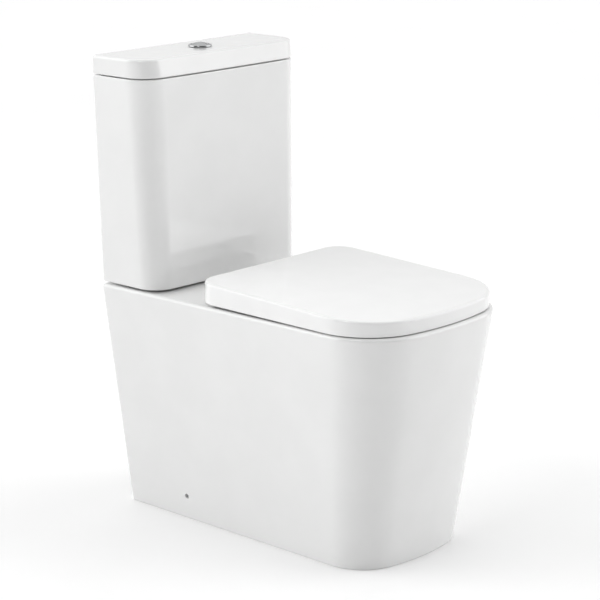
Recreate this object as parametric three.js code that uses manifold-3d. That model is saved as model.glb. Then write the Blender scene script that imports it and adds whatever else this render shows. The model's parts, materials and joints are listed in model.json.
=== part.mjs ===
// Close coupled toilet: a back-to-wall pan, a cistern bolted on its deck, a dual flush valve,
// a fill valve with a float, and a hinged seat and lid. Millimetres, +Z up, the front faces -Y.
// The origin is on the floor, under the middle of the toilet's width and depth.
import * as THREE from 'three';
import { mergeVertices } from 'three/addons/utils/BufferGeometryUtils.js';
import Module from 'manifold-3d';

const wasm = await Module();
wasm.setup();

// ---------- Driving dimensions ----------
const OVERALL_DEPTH = 644;
const LID_TOP = 820;
const WALL_Y = OVERALL_DEPTH / 2;
const CLEARANCE = 0.35;

// Outlines are seen from above. back and front are distances out from the wall.
const PAN_HEIGHT = 415;
const PAN_WALL = 12;
const DECK_THICKNESS = 24;
const DECK_UNDERSIDE = PAN_HEIGHT - DECK_THICKNESS;
const PAN_EDGE_RADIUS = 6;
const PAN_BASE = {
  halfBack: 136.5, halfFront: 139.5, back: 8, front: 585, cornerBack: 8, cornerFront: 80, bow: 28,
};
const PAN_TOP = {
  halfBack: 189, halfFront: 182, back: 0, front: 645, cornerBack: 8, cornerFront: 110, bow: 25,
};

const BOWL_WALL = 11;
const BOWL_RIM = {
  halfBack: 112, halfFront: 120, back: 302, front: 596, cornerBack: 88, cornerFront: 100, bow: 26,
};
const BOWL_SUMP = {
  halfBack: 34, halfFront: 34, back: 350, front: 428, cornerBack: 32, cornerFront: 32, bow: 6,
};
const BOWL_FLOOR = 72;
const TRAP_BORE = 38;
const TRAP_WALL = 9;
const OUTLET_HEIGHT = 180;
const OUTLET_RADIUS = 51;
const OUTLET_FACE = 40;

const TANK_BOTTOM = PAN_HEIGHT + 3.8;
const TANK_TOP = 785.4;
const TANK_WALL = 9;
const TANK_FLOOR = 12;
const TANK_FLOOR_TOP = TANK_BOTTOM + TANK_FLOOR;
const TANK_BASE_OUTLINE = {
  halfBack: 184.8, halfFront: 184.8, back: 0, front: 140.4, cornerBack: 6, cornerFront: 42.6, bow: 3.6,
};
const TANK_TOP_OUTLINE = {
  halfBack: 195.4, halfFront: 195.4, back: 0, front: 134.3, cornerBack: 6, cornerFront: 49, bow: 3.6,
};
const TANK_CENTRE = 70;

const LID_BOTTOM = TANK_TOP + 2.1;
const LID_OUTLINE = {
  halfBack: 196, halfFront: 196, back: 0, front: 134, cornerBack: 6, cornerFront: 47, bow: 3.6,
};
const LID_TOP_OUTLINE = {
  halfBack: 195.5, halfFront: 195.5, back: 0.5, front: 129.5, cornerBack: 6, cornerFront: 44, bow: 3.6,
};
const LID_SHELL = 11;
const LID_EDGE_RADIUS = 5;

const SEAT_LID = {
  halfBack: 183.7, halfFront: 183, back: 230.5, front: 638.4, cornerBack: 41, cornerFront: 111, bow: 35.5,
};
const SEAT_LID_BOTTOM = { back: PAN_HEIGHT + 5, front: PAN_HEIGHT + 1.2 };
const SEAT_LID_TOP = { back: PAN_HEIGHT + 42.4, front: PAN_HEIGHT + 25.8 };
const SEAT_LID_SHELL = 4.6;
const SEAT_LID_EDGE_RADIUS = 4.5;
const SEAT_RING = {
  halfBack: 172, halfFront: 174, back: 262, front: 629.5, cornerBack: 30, cornerFront: 102, bow: 33,
};
const SEAT_HOLE = {
  halfBack: 104, halfFront: 112, back: 330, front: 576, cornerBack: 88, cornerFront: 92, bow: 26,
};
const SEAT_RING_BOTTOM = PAN_HEIGHT + 6;
const SEAT_RING_TOP = { back: PAN_HEIGHT + 26, front: PAN_HEIGHT + 18.5 };

const HINGE_OUT = 247.5;
const HINGE_HEIGHT = PAN_HEIGHT + 22;
const HINGE_HALF_SPACING = 77.5;
const HINGE_SWEEP = 20.5;

const BOLT_OFFSET = 75;
const BOLT_RADIUS = 4;
const BOLT_HOLE = 5.5;
const HINGE_HOLE = 7.5;
const FILL_VALVE_X = 130;
const FILL_VALVE_HOLE = 22;
const INLET_END = 366;
const INLET_MOUTH = 33;
const INLET_RADIUS = 28;
const INLET_WALL = 8;
const RECESS_RADIUS = 53;
const RECESS_DEPTH = 16;
const VALVE_TAIL = 30;
const SIDE_HOLE = { out: 159, height: 43, radius: 4.6 };
const BACK_OPENING = { half: 112, top: 330 };
const WALL_FIXING = { half: 75, height: 745 };
const LID_LIP_GAP = 3;
const LID_LIP_WALL = 6;
const LID_LIP_DEPTH = 10;

const BUTTON_OUT = 68;
const BUTTON_HOLE = 18.6;
const BEZEL_RADIUS = 21;
const BEZEL_BARREL = 17.8;
const BEZEL_BORE = 16.2;
const BEZEL_HEIGHT = 4.6;
const BUTTON_RADIUS = 15.8;
const BUTTON_SPLIT = 2;
const BUTTON_GAP = 0.4;
const BUTTON_DOME = 5.5;
const ROD_OFFSET = 9;

// ---------- Materials ----------
const finish = (color, roughness, metalness) => ({ color, roughness, metalness });
const CHINA = finish(0xf2f2f1, 0.08, 0);
const SEAT_PLASTIC = finish(0xf5f5f5, 0.16, 0);
const CHROME = finish(0xd8dadc, 0.08, 1);
const STEEL = finish(0xb4b6b8, 0.35, 1);
const BRASS = finish(0xc9a45c, 0.3, 1);
const RUBBER = finish(0x2b2b2d, 0.8, 0);
const CLEAR_RUBBER = finish(0xd9dad6, 0.5, 0);
const VALVE_WHITE = finish(0xe6e7e8, 0.45, 0);
const VALVE_BLUE = finish(0x3f74b5, 0.45, 0);
const VALVE_GREY = finish(0x8d9297, 0.5, 0);

// ---------- Outlines and lofts ----------
const lerp = THREE.MathUtils.lerp;

function mix(a, b, share) {
  return Object.fromEntries(Object.keys(a).map((key) => [key, lerp(a[key], b[key], share)]));
}

function inset(outline, amount) {
  return {
    halfBack: outline.halfBack - amount,
    halfFront: outline.halfFront - amount,
    back: outline.back + amount,
    front: outline.front - amount,
    cornerBack: Math.max(outline.cornerBack - amount, 2),
    cornerFront: Math.max(outline.cornerFront - amount, 2),
    bow: outline.bow,
  };
}

function arc(centre, radius, from, to, steps) {
  return Array.from({ length: steps + 1 }, (_, i) => {
    const angle = lerp(from, to, i / steps);
    return new THREE.Vector2(centre.x + radius * Math.cos(angle), centre.y + radius * Math.sin(angle));
  });
}

// A bowed front, round front corners, straight sides and small back corners, anticlockwise.
function outlinePoints(o) {
  const bowRadius = (o.halfFront ** 2 + o.bow ** 2) / (2 * o.bow);
  const bowCentre = new THREE.Vector2(0, WALL_Y - o.front + bowRadius);
  const sideFront = new THREE.Vector2(o.halfFront, WALL_Y - o.front + o.bow);
  const side = new THREE.Vector2(o.halfBack, WALL_Y - o.back).sub(sideFront).normalize();
  const inward = new THREE.Vector2(-side.y, side.x);
  const outwardAngle = Math.atan2(-inward.y, -inward.x);

  const fromBow = sideFront.clone().addScaledVector(inward, o.cornerFront).sub(bowCentre);
  const along = fromBow.dot(side);
  const gap = fromBow.lengthSq() - (bowRadius - o.cornerFront) ** 2;
  const toCentre = fromBow.addScaledVector(side, -along - Math.sqrt(along ** 2 - gap));
  const bowEnd = toCentre.angle() - 2 * Math.PI;
  const frontCentre = toCentre.clone().add(bowCentre);

  const backCentre = sideFront.clone().addScaledVector(inward, o.cornerBack);
  const toBack = (WALL_Y - o.back - o.cornerBack - backCentre.y) / side.y;
  backCentre.addScaledVector(side, toBack);

  const half = [
    ...arc(bowCentre, bowRadius, -Math.PI / 2, bowEnd, 3).slice(0, -1),
    ...arc(frontCentre, o.cornerFront, bowEnd, outwardAngle, 7),
    ...arc(backCentre, o.cornerBack, outwardAngle, Math.PI / 2, 3),
  ];
  const mirrored = half.slice(1).reverse().map((p) => new THREE.Vector2(-p.x, p.y));
  return [...half, ...mirrored];
}

// height is a number, or { back, front } for a plane that slopes between the outline's two ends.
function ring(outline, height, slopeOver = outline) {
  const length = slopeOver.front - slopeOver.back;
  const heightAt = (y) => {
    if (typeof height === 'number') return height;
    return lerp(height.back, height.front, (WALL_Y - y - slopeOver.back) / length);
  };
  return outlinePoints(outline).map((p) => new THREE.Vector3(p.x, p.y, heightAt(p.y)));
}

function raised(height, amount) {
  return { back: height.back + amount, front: height.front + amount };
}

// One closed solid through rings that are listed from the lowest to the highest.
function loft(rings) {
  const count = rings[0].length;
  const index = [];
  for (let level = 0; level < rings.length - 1; level++) {
    for (let i = 0; i < count; i++) {
      const a = level * count + i;
      const b = level * count + (i + 1) % count;
      index.push(a, b, b + count, a, b + count, a + count);
    }
  }
  const top = (rings.length - 1) * count;
  const lid = THREE.ShapeUtils.triangulateShape(rings.at(-1).map((p) => new THREE.Vector2(p.x, p.y)), []);
  const floor = THREE.ShapeUtils.triangulateShape(rings[0].map((p) => new THREE.Vector2(p.x, p.y)), []);
  for (const [a, b, c] of lid) index.push(top + a, top + b, top + c);
  for (const [a, b, c] of floor) index.push(a, c, b);
  const geometry = new THREE.BufferGeometry();
  const positions = rings.flat().flatMap((p) => [p.x, p.y, p.z]);
  geometry.setAttribute('position', new THREE.Float32BufferAttribute(positions, 3));
  geometry.setIndex(index);
  return geometry;
}

// ---------- Primitive shapes, all with their own axis along Z ----------
// A turned piece: its profile is a closed list of [radius, height], or starts and ends on the axis.
function turned(profile, segments = 24) {
  const points = profile.map(([r, z]) => new THREE.Vector2(r, z));
  if (profile[0][0] > 0) points.push(points[0].clone());
  return new THREE.LatheGeometry(points, segments).rotateX(Math.PI / 2);
}

function rod(radius, low, high, segments = 20) {
  return turned([[0, low], [radius, low], [radius, high], [0, high]], segments);
}

function tube(outer, inner, low, high, segments = 24) {
  return turned([[inner, low], [outer, low], [outer, high], [inner, high]], segments);
}

function box(low, high) {
  const size = low.map((value, i) => high[i] - value);
  const middle = low.map((value, i) => (value + high[i]) / 2);
  return new THREE.BoxGeometry(...size).translate(...middle);
}

function pipe(points, radius, sides, steps) {
  const section = new THREE.Shape(arc(new THREE.Vector2(), radius, 0, 2 * Math.PI, sides).slice(0, -1));
  const path = new THREE.CatmullRomCurve3(points.map((p) => new THREE.Vector3(...p)));
  return new THREE.ExtrudeGeometry(section, { steps, extrudePath: path, bevelEnabled: false });
}

// A six-sided nut whose top face is just under height 0.
function hexNut(radius, thread, height) {
  return cut(solid(rod(radius, -height, -CLEARANCE, 6)), rod(thread + CLEARANCE, -height - 1, 1, 32));
}

const alongX = (geometry) => geometry.rotateY(Math.PI / 2);

// ---------- Solids ----------
// Shared vertices are merged, flat triangles dropped and the faces turned outward.
function closed(source) {
  const bare = new THREE.BufferGeometry();
  bare.setAttribute('position', source.getAttribute('position').clone());
  if (source.index) bare.setIndex(source.index.clone());
  const merged = mergeVertices(bare, 1e-4);
  const position = merged.getAttribute('position');
  const corners = merged.index.array;
  const kept = [];
  const [a, b, c] = [new THREE.Vector3(), new THREE.Vector3(), new THREE.Vector3()];
  let volume = 0;
  for (let i = 0; i < corners.length; i += 3) {
    const [p, q, r] = [corners[i], corners[i + 1], corners[i + 2]];
    if (p === q || q === r || r === p) continue;
    a.fromBufferAttribute(position, p);
    b.fromBufferAttribute(position, q);
    c.fromBufferAttribute(position, r);
    volume += a.dot(b.cross(c));
    kept.push(p, q, r);
  }
  merged.setIndex(volume < 0 ? kept.reverse() : kept);
  return merged;
}

function solid(geometry) {
  const shape = closed(geometry);
  return new wasm.Manifold(new wasm.Mesh({
    numProp: 3,
    vertProperties: new Float32Array(shape.getAttribute('position').array),
    triVerts: new Uint32Array(shape.index.array),
  }));
}

const join = (...geometries) => geometries.map(solid).reduce((whole, part) => whole.add(part));

const cut = (whole, ...geometries) => geometries.reduce((rest, g) => rest.subtract(solid(g)), whole);

function geometryOf(manifold) {
  const { vertProperties, triVerts } = manifold.getMesh();
  const geometry = new THREE.BufferGeometry();
  geometry.setAttribute('position', new THREE.BufferAttribute(new Float32Array(vertProperties), 3));
  geometry.setIndex(Array.from(triVerts));
  return geometry;
}

const group = new THREE.Group();

// Adds a named piece. at is [across, out from the wall, up].
function place(name, shape, look, at = [0, WALL_Y, 0], parent = group) {
  const geometry = shape.isBufferGeometry ? closed(shape) : geometryOf(shape);
  geometry.computeVertexNormals();
  const mesh = new THREE.Mesh(geometry, new THREE.MeshStandardMaterial(look));
  mesh.name = name;
  mesh.position.set(at[0], WALL_Y - at[1], at[2]);
  parent.add(mesh);
  return mesh;
}

const SIDES = [['left', -1], ['right', 1]];

// A hole or boss along Z at a place given as [across, out from the wall].
const standAt = (geometry, across, out) => geometry.translate(across, WALL_Y - out, 0);

// ---------- Pan ----------
function panOuter() {
  const wallAt = (z, amount) => ring(inset(mix(PAN_BASE, PAN_TOP, z / PAN_HEIGHT), amount), z);
  return loft([
    wallAt(0, 0),
    wallAt(PAN_HEIGHT - PAN_EDGE_RADIUS, 0),
    wallAt(PAN_HEIGHT - PAN_EDGE_RADIUS * 0.29, PAN_EDGE_RADIUS * 0.29),
    wallAt(PAN_HEIGHT, PAN_EDGE_RADIUS),
  ]);
}

function panCavity() {
  const wallAt = (z) => ring(inset(mix(PAN_BASE, PAN_TOP, z / PAN_HEIGHT), PAN_WALL), z);
  return loft([wallAt(-1), wallAt(PAN_HEIGHT - DECK_THICKNESS)]);
}

// The bowl narrows from its rim to the sump on a smooth curve.
const BOWL_LEVELS = [1, 0.93, 0.8, 0.62, 0.42, 0.2, 0];

function bowlAt(level, grow) {
  const share = Math.pow(level, 0.55);
  const outline = inset(mix(BOWL_SUMP, BOWL_RIM, share), -grow);
  const height = lerp(BOWL_FLOOR, PAN_HEIGHT - PAN_EDGE_RADIUS, level);
  return ring(outline, level > 0 ? height : height - grow);
}

function bowl(grow) {
  const walls = BOWL_LEVELS.map((level) => bowlAt(level, grow)).reverse();
  return loft([...walls, ring(inset(BOWL_RIM, -grow), PAN_HEIGHT + (grow ? -1 : 1))]);
}

// The trap runs down out of the sump, up over the weir and back to the outlet.
const TRAP_PATH = [
  [0, 392, 112], [0, 340, 109], [0, 300, 116], [0, 264, 156], [0, 242, 204], [0, 207, 232],
  [0, 166, 222], [0, 130, 196], [0, 92, OUTLET_HEIGHT], [0, OUTLET_FACE, OUTLET_HEIGHT],
];

// The flush water runs from the deck under the cistern to the back of the bowl.
const INLET_PATH = [
  [0, TANK_CENTRE, PAN_HEIGHT - 12], [0, TANK_CENTRE, 372], [0, 92, 340], [0, 140, 328],
  [0, 220, 332], [0, 299, 346], [0, 335, 352],
];

const fromWall = (path) => path.map(([x, out, z]) => [x, WALL_Y - out, z]);

const DUCT_TOP = PAN_HEIGHT - 30;

const rise = (radius, low, high, across, out, sides = 24) =>
  standAt(rod(radius, low, high, sides), across, out);

// The walls and the deck. The bowl, the trap and the flush duct hang under it.
function pan() {
  const open = { half: BACK_OPENING.half, front: WALL_Y - PAN_WALL - 40, back: WALL_Y + 1 };
  const shell = cut(
    solid(panOuter()),
    panCavity(),
    box([-open.half, open.front, -1], [open.half, open.back, BACK_OPENING.top]),
  );
  const boss = rise(RECESS_RADIUS + 9, DUCT_TOP, PAN_HEIGHT - 1, 0, TANK_CENTRE, 28);
  const deckHole = (radius, across, out) => rise(radius, DUCT_TOP - 1, PAN_HEIGHT + 1, across, out, 16);
  const holes = [
    bowl(0),
    rise(RECESS_RADIUS, PAN_HEIGHT - RECESS_DEPTH, PAN_HEIGHT + 1, 0, TANK_CENTRE, 28),
    rise(INLET_MOUTH, DUCT_TOP - 1, PAN_HEIGHT, 0, TANK_CENTRE),
    deckHole(FILL_VALVE_HOLE, FILL_VALVE_X, TANK_CENTRE),
  ];
  for (const [, sign] of SIDES) {
    const sideHole = alongX(rod(SIDE_HOLE.radius, -30, 30, 16));
    holes.push(
      deckHole(BOLT_HOLE, sign * BOLT_OFFSET, TANK_CENTRE),
      deckHole(HINGE_HOLE, sign * HINGE_HALF_SPACING, HINGE_OUT),
      sideHole.translate(sign * PAN_BASE.halfBack, WALL_Y - SIDE_HOLE.out, SIDE_HOLE.height),
    );
  }
  return cut(shell.add(solid(boss)), ...holes);
}

const BORE_PATH = [...TRAP_PATH, [0, OUTLET_FACE - 12, OUTLET_HEIGHT]];
const trapBore = () => pipe(fromWall(BORE_PATH), TRAP_BORE, 16, 17);
const ductBore = () => pipe(fromWall(INLET_PATH), INLET_RADIUS, 12, 10);
const underDeck = box([-250, -WALL_Y - 10, DECK_UNDERSIDE - CLEARANCE], [250, WALL_Y + 10, PAN_HEIGHT + 10]);

function panBowl() {
  return cut(solid(bowl(BOWL_WALL)), bowl(0), underDeck, trapBore(), ductBore());
}

// The trap starts outside the bowl's wall, and its last stretch is the outlet spigot.
function panTrap() {
  const outlet = rod(OUTLET_RADIUS, 0, 60, 28).rotateX(Math.PI / 2);
  outlet.translate(0, WALL_Y - OUTLET_FACE, OUTLET_HEIGHT);
  const outer = join(pipe(fromWall(TRAP_PATH), TRAP_BORE + TRAP_WALL, 16, 16), outlet);
  return cut(outer, trapBore(), bowl(BOWL_WALL + CLEARANCE));
}

function flushDuct() {
  const outer = solid(pipe(fromWall(INLET_PATH.slice(0, -1)), INLET_RADIUS + INLET_WALL, 12, 9));
  const aboveDuct = box([-250, -WALL_Y, DUCT_TOP - CLEARANCE], [250, WALL_Y, PAN_HEIGHT]);
  return cut(outer, ductBore(), aboveDuct, bowl(BOWL_WALL + CLEARANCE));
}

place('pan', pan(), CHINA);
place('pan_bowl', panBowl(), CHINA);
place('pan_trap', panTrap(), CHINA);
place('flush_duct', flushDuct(), CHINA);

// ---------- Cistern ----------
function cisternTank() {
  const height = TANK_TOP - TANK_BOTTOM;
  const outlineAt = (z) => mix(TANK_BASE_OUTLINE, TANK_TOP_OUTLINE, (z - TANK_BOTTOM) / height);
  const wallAt = (z, amount) => ring(inset(outlineAt(z), amount), z);
  const outer = loft([
    wallAt(TANK_BOTTOM, 3),
    wallAt(TANK_BOTTOM + 3, 0),
    wallAt(TANK_TOP - 2, 0),
    wallAt(TANK_TOP, 2),
  ]);
  const inner = loft([wallAt(TANK_FLOOR_TOP, TANK_WALL), wallAt(TANK_TOP + 1, TANK_WALL)]);
  const floorHole = (radius, across) =>
    standAt(rod(radius, TANK_BOTTOM - 1, TANK_FLOOR_TOP + 1), across, TANK_CENTRE);
  const holes = [floorHole(INLET_MOUTH, 0), floorHole(12, FILL_VALVE_X)];
  for (const [, sign] of SIDES) {
    const wallHole = rod(4, -1, TANK_WALL + 1, 12).rotateX(Math.PI / 2);
    holes.push(
      floorHole(BOLT_HOLE, sign * BOLT_OFFSET),
      wallHole.translate(sign * WALL_FIXING.half, WALL_Y, WALL_FIXING.height),
    );
  }
  return cut(solid(outer), inner, ...holes);
}

place('cistern_tank', cisternTank(), CHINA);

function cisternLid() {
  const top = LID_TOP;
  const height = top - LID_BOTTOM;
  const outlineAt = (z) => mix(LID_OUTLINE, LID_TOP_OUTLINE, (z - LID_BOTTOM) / height);
  const wallAt = (z, amount) => ring(inset(outlineAt(z), amount), z);
  const outer = loft([
    wallAt(LID_BOTTOM, 2),
    wallAt(LID_BOTTOM + 2, 0),
    wallAt(top - LID_EDGE_RADIUS, 0),
    wallAt(top - LID_EDGE_RADIUS * 0.29, LID_EDGE_RADIUS * 0.29),
    wallAt(top, LID_EDGE_RADIUS),
  ]);
  const lipInset = TANK_WALL + LID_LIP_GAP;
  const hollowInset = lipInset + LID_LIP_WALL;
  const lipBottom = LID_BOTTOM - LID_LIP_DEPTH;
  const lip = loft([wallAt(lipBottom, lipInset), wallAt(LID_BOTTOM + 4, lipInset)]);
  const hollow = loft([wallAt(lipBottom - 1, hollowInset), wallAt(top - LID_SHELL, hollowInset)]);
  const buttonHole = standAt(rod(BUTTON_HOLE, LID_BOTTOM, top + 1, 28), 0, BUTTON_OUT);
  return cut(join(outer, lip), hollow, buttonHole);
}

place('cistern_lid', cisternLid(), CHINA);

const gasketBottom = PAN_HEIGHT - RECESS_DEPTH + CLEARANCE;
place('tank_gasket', tube(50, 39, gasketBottom, TANK_BOTTOM - CLEARANCE, 28), RUBBER, [0, TANK_CENTRE, 0]);

// Each coupling bolt has a rubber washer on the cistern floor and a wing nut under the deck.
const BOLT_WASHER_TOP = TANK_FLOOR_TOP + 3.3;

function couplingBolt() {
  const neck = BOLT_WASHER_TOP + CLEARANCE;
  return turned([
    [0, DECK_UNDERSIDE - 24],
    [BOLT_RADIUS, DECK_UNDERSIDE - 24],
    [BOLT_RADIUS, neck],
    [9, neck],
    [9, neck + 5],
    [7, neck + 7],
    [0, neck + 7],
  ], 16);
}

function wingNut() {
  const hub = tube(9, BOLT_RADIUS + CLEARANCE, -12, -CLEARANCE, 20);
  const wings = SIDES.map(([, sign]) => {
    const [low, high] = sign > 0 ? [7, 20] : [-20, -7];
    return box([-2, low, -16], [2, high, -3]);
  });
  return join(hub, ...wings);
}

for (const [side, sign] of SIDES) {
  const washer = tube(13, BOLT_RADIUS + CLEARANCE, TANK_FLOOR_TOP + CLEARANCE, BOLT_WASHER_TOP, 20);
  const across = sign * BOLT_OFFSET;
  place(`coupling_bolt_${side}`, couplingBolt(), BRASS, [across, TANK_CENTRE, 0]);
  place(`coupling_washer_${side}`, washer, RUBBER, [across, TANK_CENTRE, 0]);
  place(`coupling_wing_nut_${side}`, wingNut(), BRASS, [across, TANK_CENTRE, DECK_UNDERSIDE]);
}

// ---------- Flush valve ----------
const VALVE_WASHER_TOP = TANK_FLOOR_TOP + 3;
const VALVE_SEAT = VALVE_WASHER_TOP + 7;
const CAGE_RADIUS = 39;
const CAGE_TOP = 570;
const VALVE_HEAD = 684;
const VALVE_TOP = 700;
const TUBE_TOP = VALVE_HEAD - 18;

function flushValveBody() {
  const flange = VALVE_WASHER_TOP + CLEARANCE;
  const tailEnd = PAN_HEIGHT - 30;
  const body = turned([
    [VALVE_TAIL - 4, tailEnd],
    [VALVE_TAIL, tailEnd],
    [VALVE_TAIL, flange],
    [43, flange],
    [43, flange + 4],
    [CAGE_RADIUS, flange + 4],
    [CAGE_RADIUS, CAGE_TOP],
    [26, CAGE_TOP + 12],
    [26, VALVE_TOP],
    [22, VALVE_TOP],
    [22, CAGE_TOP + 10],
    [CAGE_RADIUS - 4, CAGE_TOP - 2],
    [CAGE_RADIUS - 4, flange + 4],
    [VALVE_TAIL, flange + 4],
    [VALVE_TAIL, VALVE_SEAT],
    [VALVE_TAIL - 4, VALVE_SEAT],
  ]);
  const cuts = [
    box([-60, -60, VALVE_WASHER_TOP + 12], [60, -10, CAGE_TOP - 50]),
    box([-60, 10, VALVE_WASHER_TOP + 12], [60, 60, CAGE_TOP - 50]),
    box([-60, -8, CAGE_TOP + 40], [60, 8, CAGE_TOP + 90]),
  ];
  for (const [, sign] of SIDES) {
    cuts.push(rod(5.4, VALVE_HEAD - 1, VALVE_TOP + 1, 16).translate(sign * ROD_OFFSET, 0, 0));
  }
  return cut(join(body, rod(24, VALVE_HEAD, VALVE_TOP - 2)), ...cuts);
}

function valveNut() {
  const height = 14;
  const ringNut = tube(36, VALVE_TAIL + CLEARANCE, -height, 0);
  const notches = Array.from({ length: 8 }, (_, i) =>
    rod(4, -height - 1, 1, 10).translate(37.5, 0, 0).rotateZ(i * Math.PI / 4));
  return cut(solid(ringNut), ...notches);
}

const overflowTube = turned([
  [12, VALVE_SEAT + 4.6],
  [30, VALVE_SEAT + 4.6],
  [30, VALVE_SEAT + 8],
  [15, VALVE_SEAT + 14],
  [15, TUBE_TOP],
  [12, TUBE_TOP],
], 20);

const PLUNGER_TOP = VALVE_TOP + 12;
const plunger = () => turned([
  [0, VALVE_HEAD + 8],
  [5, VALVE_HEAD + 8],
  [5, PLUNGER_TOP - 1],
  [4, PLUNGER_TOP],
  [0, PLUNGER_TOP],
], 16);

const valveAt = [0, TANK_CENTRE, 0];
const valveWasher = tube(43, VALVE_TAIL + CLEARANCE, TANK_FLOOR_TOP + CLEARANCE, VALVE_WASHER_TOP);
place('flush_valve_body', flushValveBody(), VALVE_WHITE, valveAt);
place('flush_valve_washer', valveWasher, RUBBER, valveAt);
place('flush_valve_nut', valveNut(), VALVE_GREY, [0, TANK_CENTRE, TANK_BOTTOM - CLEARANCE]);
place('overflow_tube', overflowTube, VALVE_BLUE, valveAt);
place('flush_seal', tube(32, 13, VALVE_SEAT + CLEARANCE, VALVE_SEAT + 4.2), RUBBER, valveAt);
place('full_plunger', plunger(), VALVE_BLUE, [-ROD_OFFSET, TANK_CENTRE, 0]);
place('half_plunger', plunger(), VALVE_BLUE, [ROD_OFFSET, TANK_CENTRE, 0]);

// ---------- Fill valve ----------
const SHANK_RADIUS = 10.5;
const COLUMN_RADIUS = 12;
const FILL_HEAD = 640;
const FILL_HEAD_TOP = 668;
const FLOAT_BOTTOM = 552;
const FLOAT_TOP = FLOAT_BOTTOM + 66;
const ARM_HEIGHT = 678;
const ARM_PIVOT = -18;
const ARM_LINK = 27;
const ARM_PIN = 2;

const pinAlongY = (radius, half) => rod(radius, -half, half, 12).rotateX(Math.PI / 2);

function fillValveBody() {
  const flange = TANK_FLOOR_TOP + CLEARANCE;
  const column = turned([
    [5, INLET_END],
    [SHANK_RADIUS, INLET_END],
    [SHANK_RADIUS, flange],
    [19, flange],
    [19, flange + 5],
    [COLUMN_RADIUS, flange + 5],
    [COLUMN_RADIUS, FLOAT_BOTTOM - 8],
    [COLUMN_RADIUS + 4, FLOAT_BOTTOM - 6],
    [COLUMN_RADIUS + 4, FLOAT_BOTTOM - 1],
    [COLUMN_RADIUS, FLOAT_BOTTOM - 1],
    [COLUMN_RADIUS, FILL_HEAD],
    [20, FILL_HEAD + 3],
    [20, FILL_HEAD_TOP - 3],
    [17, FILL_HEAD_TOP],
    [0, FILL_HEAD_TOP],
    [0, FILL_HEAD],
    [5, FILL_HEAD],
  ], 20);
  const ears = [[-9, -6], [6, 9]].map(([low, high]) =>
    box([ARM_PIVOT - 5, low, FILL_HEAD_TOP - 12], [ARM_PIVOT + 5, high, ARM_HEIGHT + 5]));
  const foot = box([ARM_PIVOT - 3, -9, FILL_HEAD_TOP - 14], [0, 9, FILL_HEAD_TOP - 4]);
  return join(column, ...ears, pinAlongY(ARM_PIN, 8).translate(ARM_PIVOT, 0, ARM_HEIGHT), foot);
}

// The float slides on the column, and its wire lifts the arm that shuts the valve.
function floatCup() {
  const cup = turned([
    [COLUMN_RADIUS + 1, FLOAT_BOTTOM],
    [30, FLOAT_BOTTOM],
    [33, FLOAT_BOTTOM + 4],
    [33, FLOAT_TOP - 3],
    [30, FLOAT_TOP],
    [COLUMN_RADIUS + 1, FLOAT_TOP],
  ]);
  const wire = turned([
    [0, FLOAT_TOP - 4],
    [1.8, FLOAT_TOP - 4],
    [1.8, ARM_HEIGHT + 4.5],
    [4.2, ARM_HEIGHT + 4.5],
    [4.2, ARM_HEIGHT + 8],
    [0, ARM_HEIGHT + 8],
  ], 12).translate(ARM_LINK, 0, 0);
  return join(cup, wire);
}

function fillArm() {
  const bar = box([0, -4.5, -2], [ARM_LINK - ARM_PIVOT + 9, 4.5, 2]);
  const link = ARM_LINK - ARM_PIVOT;
  const slot = box([link - 6, -2.6, -3], [link + 6, 2.6, 3]);
  return cut(join(bar, pinAlongY(5, 4.5)), slot, pinAlongY(ARM_PIN + CLEARANCE, 6));
}

const fillAt = [FILL_VALVE_X, TANK_CENTRE, 0];
place('fill_valve_body', fillValveBody(), VALVE_WHITE, fillAt);
place('fill_valve_nut', hexNut(17, SHANK_RADIUS, 12), VALVE_GREY, [FILL_VALVE_X, TANK_CENTRE, TANK_BOTTOM]);
place('float_cup', floatCup(), VALVE_GREY, fillAt);
place('fill_valve_arm', fillArm(), VALVE_BLUE, [FILL_VALVE_X + ARM_PIVOT, TANK_CENTRE, ARM_HEIGHT]);

// ---------- Flush button ----------
const LID_UNDERSIDE = LID_TOP - LID_SHELL;
const BEZEL_BOTTOM = LID_UNDERSIDE - 17;
const BEZEL_TOP = LID_TOP + BEZEL_HEIGHT;
const BUTTON_BOTTOM = BEZEL_BOTTOM + 22;
const BUTTON_TOP = BEZEL_TOP + 3.2;

function buttonBezel() {
  const flange = LID_TOP + CLEARANCE;
  const body = turned([
    [0, BEZEL_BOTTOM],
    [BEZEL_BARREL, BEZEL_BOTTOM],
    [BEZEL_BARREL, flange],
    [BEZEL_RADIUS, flange],
    [BEZEL_RADIUS, BEZEL_TOP - 2],
    [BEZEL_RADIUS - 2.2, BEZEL_TOP],
    [BEZEL_BORE, BEZEL_TOP - 0.6],
    [BEZEL_BORE, BEZEL_BOTTOM + 2],
    [0, BEZEL_BOTTOM + 2],
  ], 32);
  const rodHoles = SIDES.map(([, sign]) =>
    rod(3, BEZEL_BOTTOM - 1, BEZEL_BOTTOM + 3, 12).translate(sign * ROD_OFFSET, 0, 0));
  return cut(solid(body), ...rodHoles);
}

// The domed round button is split into a larger and a smaller half.
function buttonHalf(sign) {
  const steps = 7;
  const dome = Array.from({ length: steps + 1 }, (_, i) => {
    const angle = (1 - i / steps) * Math.PI / 2;
    return [BUTTON_RADIUS * Math.sin(angle), BUTTON_TOP - BUTTON_DOME * (1 - Math.cos(angle))];
  });
  const whole = solid(turned([[0, BUTTON_BOTTOM], [BUTTON_RADIUS, BUTTON_BOTTOM], ...dome], 32));
  const split = BUTTON_SPLIT + sign * BUTTON_GAP;
  const [low, high] = sign < 0 ? [split, 30] : [-30, split];
  return cut(whole, box([low, -30, BUTTON_BOTTOM - 1], [high, 30, BUTTON_TOP + 1]));
}

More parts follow.
